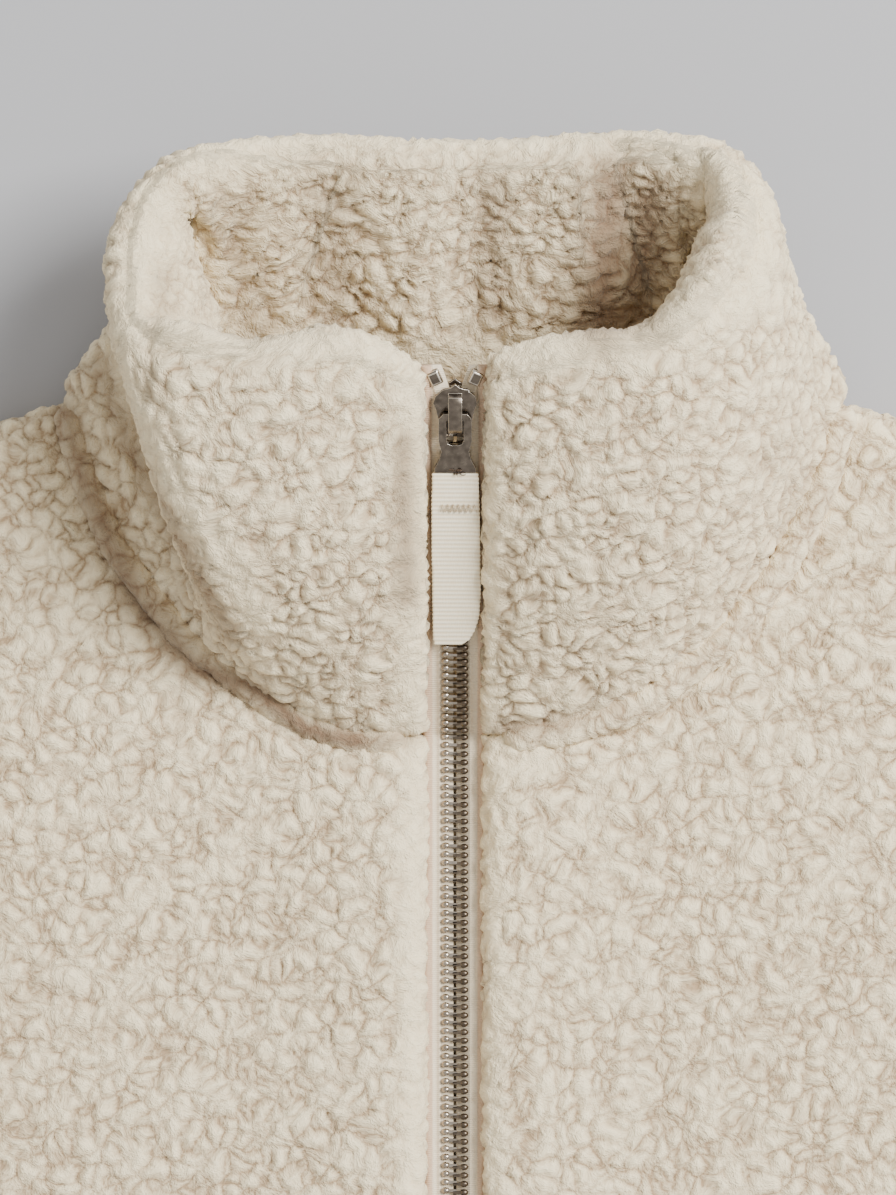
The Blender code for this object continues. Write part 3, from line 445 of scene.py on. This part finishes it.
def pile_tree():
    tree, given, out = new_tree("raise_curls", Height=0.0027, Strands=0.0012, Material=PILE)
    place = add(tree, "GeometryNodeInputPosition").outputs[0]
    normal = add(tree, "GeometryNodeInputNormal").outputs[0]
    brushed = add(tree, "GeometryNodeInputNamedAttribute", {"data_type": "FLOAT"},
                  Name="brushed").outputs[0]
    inside = add(tree, "GeometryNodeInputNamedAttribute", {"data_type": "FLOAT"},
                 Name="inside").outputs[0]
    moved, felt = laid(tree, place, inside)
    kept = add(tree, "GeometryNodeStoreNamedAttribute", {"data_type": "FLOAT_VECTOR"},
               Geometry=given.outputs[0], Name="laid_at", Value=moved)
    kept = add(tree, "GeometryNodeStoreNamedAttribute", {"data_type": "FLOAT"},
               Geometry=kept.outputs[0], Name="felt", Value=felt)
    dome = curls(tree, moved, felt)
    small = add(tree, "ShaderNodeTexVoronoi", {"feature": "F1"}, Vector=moved,
                Scale=1 / STRAND, Randomness=1.0)
    strand = maths(tree, "SUBTRACT", 0.6, small.outputs["Distance"])
    calm = maths(tree, "SUBTRACT", 1.0, maths(tree, "MULTIPLY", brushed, 0.6))
    top = maths(tree, "ADD", maths(tree, "MULTIPLY", dome, calm),
                maths(tree, "MULTIPLY", brushed, 0.44))
    lift = maths(tree, "MULTIPLY", maths(tree, "SUBTRACT", top, 0.45), given.outputs["Height"])
    lift = maths(tree, "ADD", lift, maths(tree, "MULTIPLY", strand, given.outputs["Strands"]))
    turned = add(tree, "ShaderNodeSeparateXYZ", None, i0=normal).outputs[2]
    free = maths(tree, "ADD", maths(tree, "MULTIPLY", turned, 3.0), 2.4, True)
    push = add(tree, "ShaderNodeVectorMath", {"operation": "SCALE"}, i0=normal,
               Scale=maths(tree, "MULTIPLY", lift, free))
    raised = add(tree, "GeometryNodeSetPosition", None, i0=kept.outputs[0], Offset=push.outputs[0])
    end_tree(tree, raised.outputs[0], given.outputs["Material"], out)
    return tree


def grown(obj, tree, **inputs):
    """Gives an object the plain mesh that a tree makes from it."""
    modifier = obj.modifiers.new(tree.name, "NODES")
    modifier.node_group = tree
    sockets = {s.name: s.identifier for s in tree.interface.items_tree if s.in_out == "INPUT"}
    for key, value in inputs.items():
        modifier[sockets[key]] = value
    plain_result(obj)
    return obj


def count(obj):
    return sum(len(p.vertices) - 2 for p in obj.data.polygons)


# %% [markdown]
# ## The cloth pieces
# The jacket is sewn from a back, two fronts, two sleeves and the collar. Each solid is cut
# finely, marked and grown. The back is seen only at its edges, so it takes fewer points.

# %% The cloth pieces
RAISE = pile_tree()


def cloth(node, voxel, rounds):
    piece = joined_copy(node, voxel)
    if rounds:
        cut_finely(piece, rounds)
    piece.data.shade_smooth()
    hand_marks(piece.data)
    grown(piece, RAISE)
    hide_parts(node)
    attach(piece, "jacket")
    print(piece.name, count(piece), "triangles")
    return piece


back = cloth("back_panel", 4.2 * MM, 0)
front_right = cloth("front_right", 2.5 * MM, 1)
front_left = cloth("front_left", 2.5 * MM, 1)
sleeve_right = cloth("sleeve_right", 0, 5)
sleeve_left = cloth("sleeve_left", 0, 5)
collar = cloth("collar", 1.45 * MM, 0)

# %% [markdown]
# ## The seam at the neck
# Where the collar is sewn to the fronts, the two piles meet and hide the stitches. A soft
# roll of pile lies over the seam, so that no open gap shows between the pieces.

# %% The seam at the neck
# x, y and height of the rolls' middles in millimetres, measured from the neck seam at the zip
NECK_SEAM = (
    (-130, 110, 18), (-125, 90, 18), (-113, 62, 18), (-91, 34, 18.5), (-67, 15, 19),
    (-50, 4, 19), (-34, -1, 19.5), (-17, -1.5, 19.5),
)
NECK_SEAM_LEFT = (
    (17, -1, 20), (34, 1.5, 21), (62, 10, 22), (90, 32, 22), (111, 60, 21.5), (124, 88, 20.5),
    (129.5, 110, 19),
)
PATH_STEP = 1.2
ROLL_SIDES = 20
ROLL_CURLS = 1.4 * MM


def smooth_path(rows, step):
    """Evenly spaced points along straight runs between the rows, rounded at the corners."""
    rows = np.array(rows, float)
    length = np.concatenate([[0], np.cumsum(np.linalg.norm(np.diff(rows, axis=0), axis=1))])
    places = np.linspace(0, length[-1], int(length[-1] / step) + 1)
    path = np.stack([np.interp(places, length, rows[:, k]) for k in range(rows.shape[1])], 1)
    for _ in range(int(20 / step)):
        path[1:-1] = (path[:-2] + 2 * path[1:-1] + path[2:]) / 4
    return path


def tube(path, radius, sides):
    """A closed tube along a path, thin at both ends, as points and faces."""
    run = np.gradient(path, axis=0)
    run /= np.linalg.norm(run, axis=1)[:, None]
    side = np.cross(run, [0, 0, 1.0])
    side /= np.linalg.norm(side, axis=1)[:, None]
    up = np.cross(side, run)
    ends = np.minimum(np.arange(len(path)), np.arange(len(path))[::-1])
    size = radius * np.sqrt(1 - (1 - np.clip((ends + 0.3) / 5, 0, 1)) ** 2)
    turn = np.linspace(0, 2 * np.pi, sides, endpoint=False)
    ring = side[:, None] * np.cos(turn)[None, :, None] + up[:, None] * np.sin(turn)[None, :, None]
    points = (path[:, None] + ring * size[:, None, None]).reshape(-1, 3)
    faces = [list(range(sides))[::-1],
             list(range((len(path) - 1) * sides, len(path) * sides))]
    for r in range(len(path) - 1):
        for k in range(sides):
            a, b = r * sides + k, r * sides + (k + 1) % sides
            faces.append((a, a + sides, b + sides, b)[::-1])
    return points, faces


def closed_piece(name, points, faces, material, body="jacket"):
    """A finished piece whose faces all point outwards."""
    mesh = bpy.data.meshes.new(name)
    mesh.from_pydata([tuple(p) for p in points], [], [tuple(f) for f in faces])
    shape = bmesh.new()
    shape.from_mesh(mesh)
    bmesh.ops.recalc_face_normals(shape, faces=shape.faces)
    shape.to_mesh(mesh)
    shape.free()
    mesh.materials.append(material)
    mesh.shade_smooth()
    obj = show(name, mesh)
    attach(obj, body)
    return obj


def seam_roll(name, rows, radius):
    path = smooth_path(rows, PATH_STEP) * MM + [0, NECK_Y, 0]
    roll = closed_piece(name, *tube(path, radius, ROLL_SIDES), PILE)
    hand_marks(roll.data)
    grown(roll, RAISE, Height=ROLL_CURLS)
    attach(roll, "jacket")
    print(name, count(roll), "triangles")


seam_roll("neck_seam_right", NECK_SEAM, radius=5.2 * MM)
seam_roll("neck_seam_left", NECK_SEAM_LEFT, radius=5.6 * MM)

# %% [markdown]
# ## The zip's path
# The zip runs flat up the chest and then climbs the front of the collar. Its tape's edge
# in the plain model gives the path: pairs of corners, one on each side of the tape, whose
# middles are joined. Everything on the zip is placed by distance along this path.

# %% The zip's path
SLOPE_REACH = 2 * MM


def zip_path():
    corners = points_of(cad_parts["zip_tape_right"].data)
    edge = corners[corners[:, 0] < corners[:, 0].min() + 0.1 * MM]
    edge = edge[np.argsort(edge[:, 1])]
    middles = []
    while len(edge):
        near = np.linalg.norm(edge - edge[0], axis=1) < 1.6 * MM
        middles.append((edge[near].min(0) + edge[near].max(0)) / 2)
        edge = edge[~near]
    return np.array(middles)[:, 1:]


PATH = zip_path()
RUN = np.concatenate([[0], np.cumsum(np.hypot(*np.diff(PATH, axis=0).T))])


def path_at(distance):
    """y and height of the path at distances along it."""
    return np.interp(distance, RUN, PATH[:, 0]), np.interp(distance, RUN, PATH[:, 1])


def on_zip(distance, x, height):
    """World points at distances along the zip, x across it and height above its tape."""
    y, z = path_at(distance)
    ahead, behind = path_at(distance + SLOPE_REACH), path_at(distance - SLOPE_REACH)
    angle = np.arctan2(ahead[1] - behind[1], ahead[0] - behind[0])
    return np.stack([x + 0 * y, y - np.sin(angle) * height, z + np.cos(angle) * height], -1)


def run_at(y):
    """Distance along the zip where it passes a place, measured from the neck seam."""
    return float(np.interp(y + NECK_Y, PATH[:, 0], RUN))


print("The zip is", round(RUN[-1] / MM), "mm long")

# %% [markdown]
# ## Zip tape
# A cotton tape, woven with a fine rib across it, with a corded edge beside the teeth. The
# fronts' backing is turned under beside it and shows as a soft tan fold, its tan partly the
# backing's own colour and partly painted shade. The tape is one profile carried along the
# path, and its fold wanders a little, as hand-guided sewing does.

# %% Zip tape
# distance from the middle and height above the tape's middle, in millimetres
TAPE_PROFILE = (
    (0.5, -0.5), (13.0, -0.5), (13.0, 0.5), (11.4, 0.9), (10.6, 2.0), (9.6, 2.7), (8.4, 2.6),
    (7.7, 1.7), (7.3, 0.75), (6.3, 0.6), (5.7, 0.65), (5.3, 1.05), (4.9, 0.95), (4.6, 0.5),
    (0.5, 0.5),
)
# the part of the profile that is the turned fold, in millimetres from the middle
FOLD_FROM, FOLD_TO = 7, 12
# the tapes part above this place, in metres from the neck seam, by up to this much
PARTING_FROM = 0.106
PARTING = 4.0 * MM
TAPE_PLACES = 320


def tape_material():
    """Matt cream cotton, finely ribbed across; its fold speckled tan, partly painted shade."""
    material, tree, shader = new_material("woven_cotton_tape", Roughness=0.8, Sheen_Weight=0.1)
    spot = add(tree, "ShaderNodeTexCoord").outputs["Object"]
    part = add(tree, "ShaderNodeSeparateXYZ", None, i0=spot)
    across = maths(tree, "ABSOLUTE", part.outputs[0])
    folded = maths(tree, "MULTIPLY", maths(tree, "SUBTRACT", across, 7.2 * MM), 1600.0, True)
    speckle = add(tree, "ShaderNodeTexNoise", None, Vector=spot, Scale=1 / (1.1 * MM), Detail=3.0)
    cream = mix(tree, speckle.outputs["Fac"], linear("D6C4A6"), linear("F0E1C6"))
    # Painted shade: the fold's tan is partly the backing's own colour and partly shade under the
    # pile's edge.
    tan = mix(tree, speckle.outputs["Fac"], linear("BC9A7B"), linear("DDC2A3"))
    tree.links.new(mix(tree, folded, cream, tan), shader.inputs["Base Color"])
    rib = add(tree, "ShaderNodeTexWave", {"bands_direction": "Y"}, Vector=spot,
              Scale=math.pi / 10 / (0.65 * MM), Distortion=1.5, Detail=1.0)
    bump(tree, shader, maths(tree, "ADD", rib.outputs["Fac"], speckle.outputs["Fac"]), 0.5,
         0.25 * MM)
    return material


TAPE = tape_material()


def tape(name, side, node):
    places = np.linspace(0, RUN[-1], TAPE_PLACES)
    top = run_at(PARTING_FROM)
    part = PARTING * np.clip((places - top) / (RUN[-1] - top), 0, 1) ** 1.5
    # two uneven waves, about 100 mm and 36 mm long
    wander = (0.35 * np.sin(places * 61 + side) + 0.25 * np.sin(places * 173)) * MM
    columns = []
    for x, height in TAPE_PROFILE:
        shift = part if x < FOLD_FROM else part * 0
        loose = wander if FOLD_FROM < x < FOLD_TO else wander * 0
        columns.append(on_zip(places, side * (x * MM + shift + loose), height * MM))
    rows = np.stack(columns, axis=1)
    n = len(TAPE_PROFILE)
    faces = [list(range(n)), list(range((len(places) - 1) * n, len(places) * n))[::-1]]
    for r in range(len(places) - 1):
        for k in range(n):
            a, b = r * n + k, r * n + (k + 1) % n
            faces.append((a, b, b + n, a + n))
    piece = closed_piece(name, rows.reshape(-1, 3), faces, TAPE)
    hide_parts(node)
    print(name, count(piece), "triangles")


tape("woven_tape_right", -1, "zip_tape_right")
tape("woven_tape_left", 1, "zip_tape_left")

# %% [markdown]
# ## Worn nickel
# The zip's metal is brass plated with nickel and then tumbled and darkened, so it shines
# softly, is darker in its hollows, and has small smears. Nickel's own colour is a warm
# grey. The teeth on the wearer's right take a lighter copy of the metal and those on the
# left a darker one, as painted light and shade.

# %% Worn nickel


def nickel(name, worn, dark, roughness):
    """Softly shining grey metal, smeared between a worn and a dark tone, with fine grit."""
    material, tree, shader = new_material(name, Metallic=1.0)
    spot = add(tree, "ShaderNodeTexCoord").outputs["Object"]
    smear = add(tree, "ShaderNodeTexNoise", None, Vector=spot, Scale=1 / (2.4 * MM), Detail=4.0)
    grit = add(tree, "ShaderNodeTexNoise", None, Vector=spot, Scale=1 / (0.4 * MM), Detail=2.0)
    tree.links.new(mix(tree, smear.outputs["Fac"], linear(dark), linear(worn)),
                   shader.inputs["Base Color"])
    rough = maths(tree, "ADD", maths(tree, "MULTIPLY", smear.outputs["Fac"], 0.25), roughness)
    tree.links.new(rough, shader.inputs["Roughness"])
    bump(tree, shader, grit.outputs["Fac"], 0.25, 0.1 * MM)
    return material


AGED = nickel("aged_nickel_plate", "9A8E80", "352D26", 0.12)
# Painted light and shade: a lighter copy of the metal for the right teeth, a darker one for the
# left teeth.
LIT_TEETH = nickel("painted_lit_nickel_teeth", "DCD0C0", "74685A", 0.10)
EDGE = nickel("bright_worn_edge", "F4ECDF", "C9BDAC", 0.22)
SHADED_TEETH = nickel("painted_shade_nickel_teeth", "857869", "3D332A", 0.22)
print("Metals:", ", ".join(metal.name for metal in (AGED, LIT_TEETH, EDGE, SHADED_TEETH)))

# %% [markdown]
# ## Teeth
# Each side's tooth is a round nub clamped on the tape and a narrow arm that reaches past
# the middle, between two arms from the other side. One tooth is modelled with few faces.
# Geometry Nodes place it every 2.8 mm along a curve that follows the zip.

# %% Teeth
PITCH = 2.82 * MM
TOOTH_HEIGHT = 1.55 * MM
GUIDE_STEP = 1.5 * MM


def tooth(name, side):
    shape = bmesh.new()
    bmesh.ops.create_uvsphere(shape, u_segments=9, v_segments=6, radius=1)
    for v in shape.verts:
        v.co = Vector((v.co.x * 1.5 - 3.1, v.co.y * 1.12, max(v.co.z, -0.55) * 1.05))
    arm = bmesh.ops.create_cube(shape, size=1)["verts"]
    for v in arm:
        v.co = Vector((v.co.x * 3.6 - 1.1, v.co.y * (1.2 if v.co.x < 0 else 0.8), v.co.z * 1.3))
    bmesh.ops.scale(shape, verts=shape.verts, vec=(-side * MM, MM, MM))
    bmesh.ops.recalc_face_normals(shape, faces=shape.faces)
    mesh = bpy.data.meshes.new(name)
    shape.to_mesh(mesh)
    shape.free()
    return show(name, mesh)


def row_tree(name):
    """Copies of one object along a curve, turned to follow it."""
    tree, given, out = new_tree(name, Pitch=PITCH, Material=AGED)
    piece = tree.interface.new_socket(name="Piece", in_out="INPUT",
                                      socket_type="NodeSocketObject")
    evenly = add(tree, "GeometryNodeResampleCurve", {"mode": "LENGTH"}, Curve=given.outputs[0],
                 Length=given.outputs["Pitch"])
    tangent = add(tree, "GeometryNodeInputTangent").outputs[0]
    turned = add(tree, "FunctionNodeAlignRotationToVector", {"axis": "Y", "pivot_axis": "X"},
                 Vector=tangent).outputs[0]
    shape = add(tree, "GeometryNodeObjectInfo", None, Object=given.outputs[piece.name])
    placed = add(tree, "GeometryNodeInstanceOnPoints", None, Points=evenly.outputs[0],
                 Instance=shape.outputs["Geometry"], Rotation=turned)
    end_tree(tree, placed.outputs[0], given.outputs["Material"], out)
    return tree


def curve_piece(name, path):
    """An object that holds one open curve through the points."""
    data = bpy.data.curves.new(name, "CURVE")
    data.dimensions = "3D"
    spline = data.splines.new("POLY")
    spline.points.add(len(path) - 1)
    for point, co in zip(spline.points, path):
        point.co = (*co, 1)
    return show(name, data)


def row_of(name, path, piece, pitch, material, body="jacket"):
    """A plain mesh object of one piece repeated along a path."""
    guide = curve_piece(name + "_guide", path)
    modifier = guide.modifiers.new("row", "NODES")
    modifier.node_group = ROW
    ids = {s.name: s.identifier for s in ROW.interface.items_tree if s.in_out == "INPUT"}
    modifier[ids["Pitch"]], modifier[ids["Material"]] = pitch, material
    modifier[ids["Piece"]] = piece
    graph = bpy.context.evaluated_depsgraph_get()
    mesh = bpy.data.meshes.new_from_object(
        guide.evaluated_get(graph), preserve_all_data_layers=True, depsgraph=graph
    )
    bpy.data.objects.remove(guide)
    mesh.shade_smooth()
    mesh.set_sharp_from_angle(angle=math.radians(50))
    obj = show(name, mesh)
    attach(obj, body)
    print(name, count(obj), "triangles")
    return obj


ROW = row_tree("row_along_path")
# where the chain starts and ends, from places in metres from the neck seam
CHAIN_START = run_at(-0.528)
CHAIN_END = run_at(0.105)


def teeth(name, side, shift, material):
    places = np.arange(CHAIN_START + shift, CHAIN_END, GUIDE_STEP)
    path = on_zip(places, 0 * places, TOOTH_HEIGHT)
    shape = tooth(name + "_one", side)
    row = row_of(name, path, shape, PITCH, material)
    bpy.data.objects.remove(shape)
    return row


chain = teeth("teeth_right", -1, 0, LIT_TEETH)
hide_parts("zip_chain")
teeth("teeth_left", 1, PITCH / 2, SHADED_TEETH)

# %% [markdown]
# ## Slider, tab, stops and box
# Cast metal has no sharp edges. The plain pieces are copied, their flat triangles joined
# into faces, and every edge rounded by about a third of a millimetre, as tumbling does.
# Rounded edges are where hands rub the dark plating off, so they take a brighter metal.

# %% Slider, tab, stops and box
FLAT_WITHIN = math.radians(4)
ROUNDED_FROM = math.radians(35)
SHARP_FROM = math.radians(40)


def tumbled(node, name, body, edge):
    """A CAD node's metal piece with rounded, brightly worn edges."""
    piece = joined_copy(node, 0)
    piece.name = piece.data.name = name
    shape = bmesh.new()
    shape.from_mesh(piece.data)
    bmesh.ops.dissolve_limit(shape, angle_limit=FLAT_WITHIN, verts=shape.verts,
                             edges=shape.edges)
    shape.to_mesh(piece.data)
    shape.free()
    piece.data.materials.clear()
    piece.data.materials.append(AGED)
    piece.data.materials.append(EDGE)
    rounding = piece.modifiers.new("rounding", "BEVEL")
    rounding.material = 1
    rounding.width, rounding.segments = edge, 2
    rounding.limit_method, rounding.angle_limit = "ANGLE", ROUNDED_FROM
    plain_result(piece)
    piece.data.shade_smooth()
    piece.data.set_sharp_from_angle(angle=SHARP_FROM)
    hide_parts(node)
    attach(piece, body)
    print(name, count(piece), "triangles")


tumbled("slider", "slider_body", "jacket", 0.35 * MM)
tumbled("pull_tab", "slider_tab", "pull", 0.30 * MM)
tumbled("top_stop_right", "stop_right", "jacket", 0.28 * MM)
tumbled("top_stop_left", "stop_left", "jacket", 0.28 * MM)
tumbled("zip_box", "zip_foot", "jacket", 0.5 * MM)

# %% [markdown]
# ## Ribbon
# The pull is a grosgrain ribbon: heavy crosswise ribs 1.4 mm apart. Its plain solid is
# remeshed finely and Geometry Nodes raise the ribs, so the edges look woven too. A zigzag
# row of thread holds the fold shut, and a small knot of brown thread sits at the tab's foot.

# %% Ribbon
RIB = 1.37 * MM
# places and sizes on the ribbon are in millimetres, measured from the neck seam at the zip
ZIGZAG_AT = (-4.9, 74.8)
ZIGZAG_POINTS = 15
ZIGZAG_STEP = 0.86
ZIGZAG_HALF = 1.3
KNOT_AT = (0.6, 86.6)
KNOT_FOOT_Y = 84.5
KNOT_STRANDS = 22
STRAND_POINTS = 7
STRAND_SIDES = 5


def ribbon_material(name, low, high):
    """Matt yarn with a faint sheen, painted shade between the ribs, and fine threads."""
    material, tree, shader = new_material(name, Roughness=0.75, Sheen_Weight=0.2,
                                          Specular_IOR_Level=0.25)
    spot = add(tree, "ShaderNodeTexCoord").outputs["Object"]
    long = add(tree, "ShaderNodeMapping", None, Vector=spot,
               Scale=(1 / (0.4 * MM), 1 / (2 * MM), 1 / (2 * MM)))
    thread = add(tree, "ShaderNodeTexNoise", None, Vector=long.outputs[0], Scale=1.0, Detail=2.0)
    y = add(tree, "ShaderNodeSeparateXYZ", None, i0=spot).outputs[1]
    # Painted shade: the colour darkens between the ribs.
    wave = maths(tree, "SINE", maths(tree, "MULTIPLY", y, 2 * math.pi / RIB), 0)
    tone = maths(tree, "ADD", maths(tree, "MULTIPLY", wave, 0.4), thread.outputs["Fac"], True)
    tree.links.new(mix(tree, tone, linear(low), linear(high)), shader.inputs["Base Color"])
    bump(tree, shader, thread.outputs["Fac"], 0.4, 0.15 * MM)
    return material


RIBBON = ribbon_material("cream_grosgrain_ribbon", "F2DFBB", "FFF6DC")
THREAD = ribbon_material("brown_thread", "2A1D12", "54402C")
CREAM_THREAD = ribbon_material("tan_thread", "96794F", "C2A981")


def rib_tree():
    tree, given, out = new_tree("raise_ribs", Pitch=RIB, Height=0.00010, Material=RIBBON)
    y = add(tree, "ShaderNodeSeparateXYZ", None,
            i0=add(tree, "GeometryNodeInputPosition").outputs[0]).outputs[1]
    turn = maths(tree, "DIVIDE", maths(tree, "MULTIPLY", y, 2 * math.pi), given.outputs["Pitch"])
    lift = maths(tree, "MULTIPLY", maths(tree, "SINE", turn, 0), given.outputs["Height"])
    push = add(tree, "ShaderNodeVectorMath", {"operation": "SCALE"},
               i0=add(tree, "GeometryNodeInputNormal").outputs[0], Scale=lift)
    raised = add(tree, "GeometryNodeSetPosition", None, Geometry=given.outputs[0],
                 Offset=push.outputs[0])
    end_tree(tree, raised.outputs[0], given.outputs["Material"], out)
    return tree


ribbon = joined_copy("pull_ribbon", 0.42 * MM)
ribbon.name = ribbon.data.name = "ribbed_ribbon"
ribbon.data.shade_smooth()
grown(ribbon, rib_tree())
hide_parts("pull_ribbon")
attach(ribbon, "pull")
print("ribbon", count(ribbon), "triangles")


def on_ribbon(x, y):
    """Height of the ribbon's upper face at a place, from its own points."""
    co = points_of(ribbon.data)
    near = np.hypot(co[:, 0] - x * MM, co[:, 1] - NECK_Y - y * MM) < 1.0 * MM
    return co[near, 2].max() if near.any() else co[:, 2].max()


def thread(name, rows, radius, material):
    path = np.array([(x * MM, NECK_Y + y * MM, z * MM) for x, y, z in rows])
    piece = closed_piece(name, *tube(path, radius, 6), material, "pull")
    print(name, count(piece), "triangles")


zigzag = []
for k in range(ZIGZAG_POINTS):
    x = ZIGZAG_AT[0] + k * ZIGZAG_STEP
    y = ZIGZAG_AT[1] + (ZIGZAG_HALF if k % 2 else -ZIGZAG_HALF)
    zigzag.append((x, y, on_ribbon(x, y) / MM + 0.1))
thread("bar_tack_zigzag", zigzag, 0.27 * MM, CREAM_THREAD)


def knot_strand(start, turn, reach, high, foot):
    """The path of one strand, which curls away from the knot's middle."""
    rows = [(KNOT_AT[0] + 1.6 * start[0] + reach * t * math.cos(turn + t),
             KNOT_AT[1] + start[1] + 0.6 * reach * t * math.sin(turn + t),
             foot + high * math.sin(3 * t)) for t in np.linspace(0, 1, STRAND_POINTS)]
    return np.array(rows) * MM + [0, NECK_Y, 0]


chance = np.random.default_rng(7)
knot_foot = on_ribbon(KNOT_AT[0], KNOT_FOOT_Y) / MM + 0.2
knot_points, knot_faces = [], []
for k in range(KNOT_STRANDS):
    start, turn = chance.uniform(-0.8, 0.8, 2), chance.uniform(0, 2 * math.pi)
    reach, high = chance.uniform(0.9, 2.2), chance.uniform(0.4, 1.5)
    path = knot_strand(start, turn, reach, high, knot_foot)
    points, faces = tube(path, 0.22 * MM, STRAND_SIDES)
    knot_faces += [[i + STRAND_SIDES * STRAND_POINTS * k for i in face] for face in faces]
    knot_points += list(points)
knot = closed_piece("thread_knot", knot_points, knot_faces, THREAD, "pull")
print("thread knot", count(knot), "triangles")

# %% [markdown]
# ## Floor and light
# A plain pale floor, one large soft light from the upper right and an even pale sky. The
# light is as wide as a window, so the collar's shadow on the left has a soft edge.

# %% Floor and light
FLOOR_HALF = 3.0


def floor():
    """Matt grey paper, which has no shine and only carries the jacket's soft shadow."""
    mesh = bpy.data.meshes.new("floor")
    corners = [(-1, -1), (1, -1), (1, 1), (-1, 1)]
    points = [(a * FLOOR_HALF, b * FLOOR_HALF, 0) for a, b in corners]
    mesh.from_pydata(points, [], [(0, 1, 2, 3)])
    material, _, shader = new_material("matt_paper", Roughness=0.95, Specular_IOR_Level=0.1)
    shader.inputs["Base Color"].default_value = linear("AAAAAC")
    mesh.materials.append(material)
    show("floor", mesh)


def soft_light(name, place, aim, size, watts):
    data = bpy.data.lights.new(name, "AREA")
    data.size = size
    data.energy = watts
    lamp = bpy.data.objects.new(name, data)
    lamp.location = place
    lamp.rotation_euler = (Vector(place) - Vector(aim)).to_track_quat("Z", "Y").to_euler()
    bpy.context.scene.collection.objects.link(lamp)


floor()
soft_light("window", (1.65, 1.00, 1.92), aim=(0, NECK_Y, 0), size=1.3, watts=145)
world = bpy.data.worlds.new("sky")
world.use_nodes = True
world.node_tree.nodes["Background"].inputs["Color"].default_value = linear("F2F1F0")
world.node_tree.nodes["Background"].inputs["Strength"].default_value = 0.88
bpy.context.scene.world = world
print("Floor", 2 * FLOOR_HALF, "m square, one window light and an even sky")
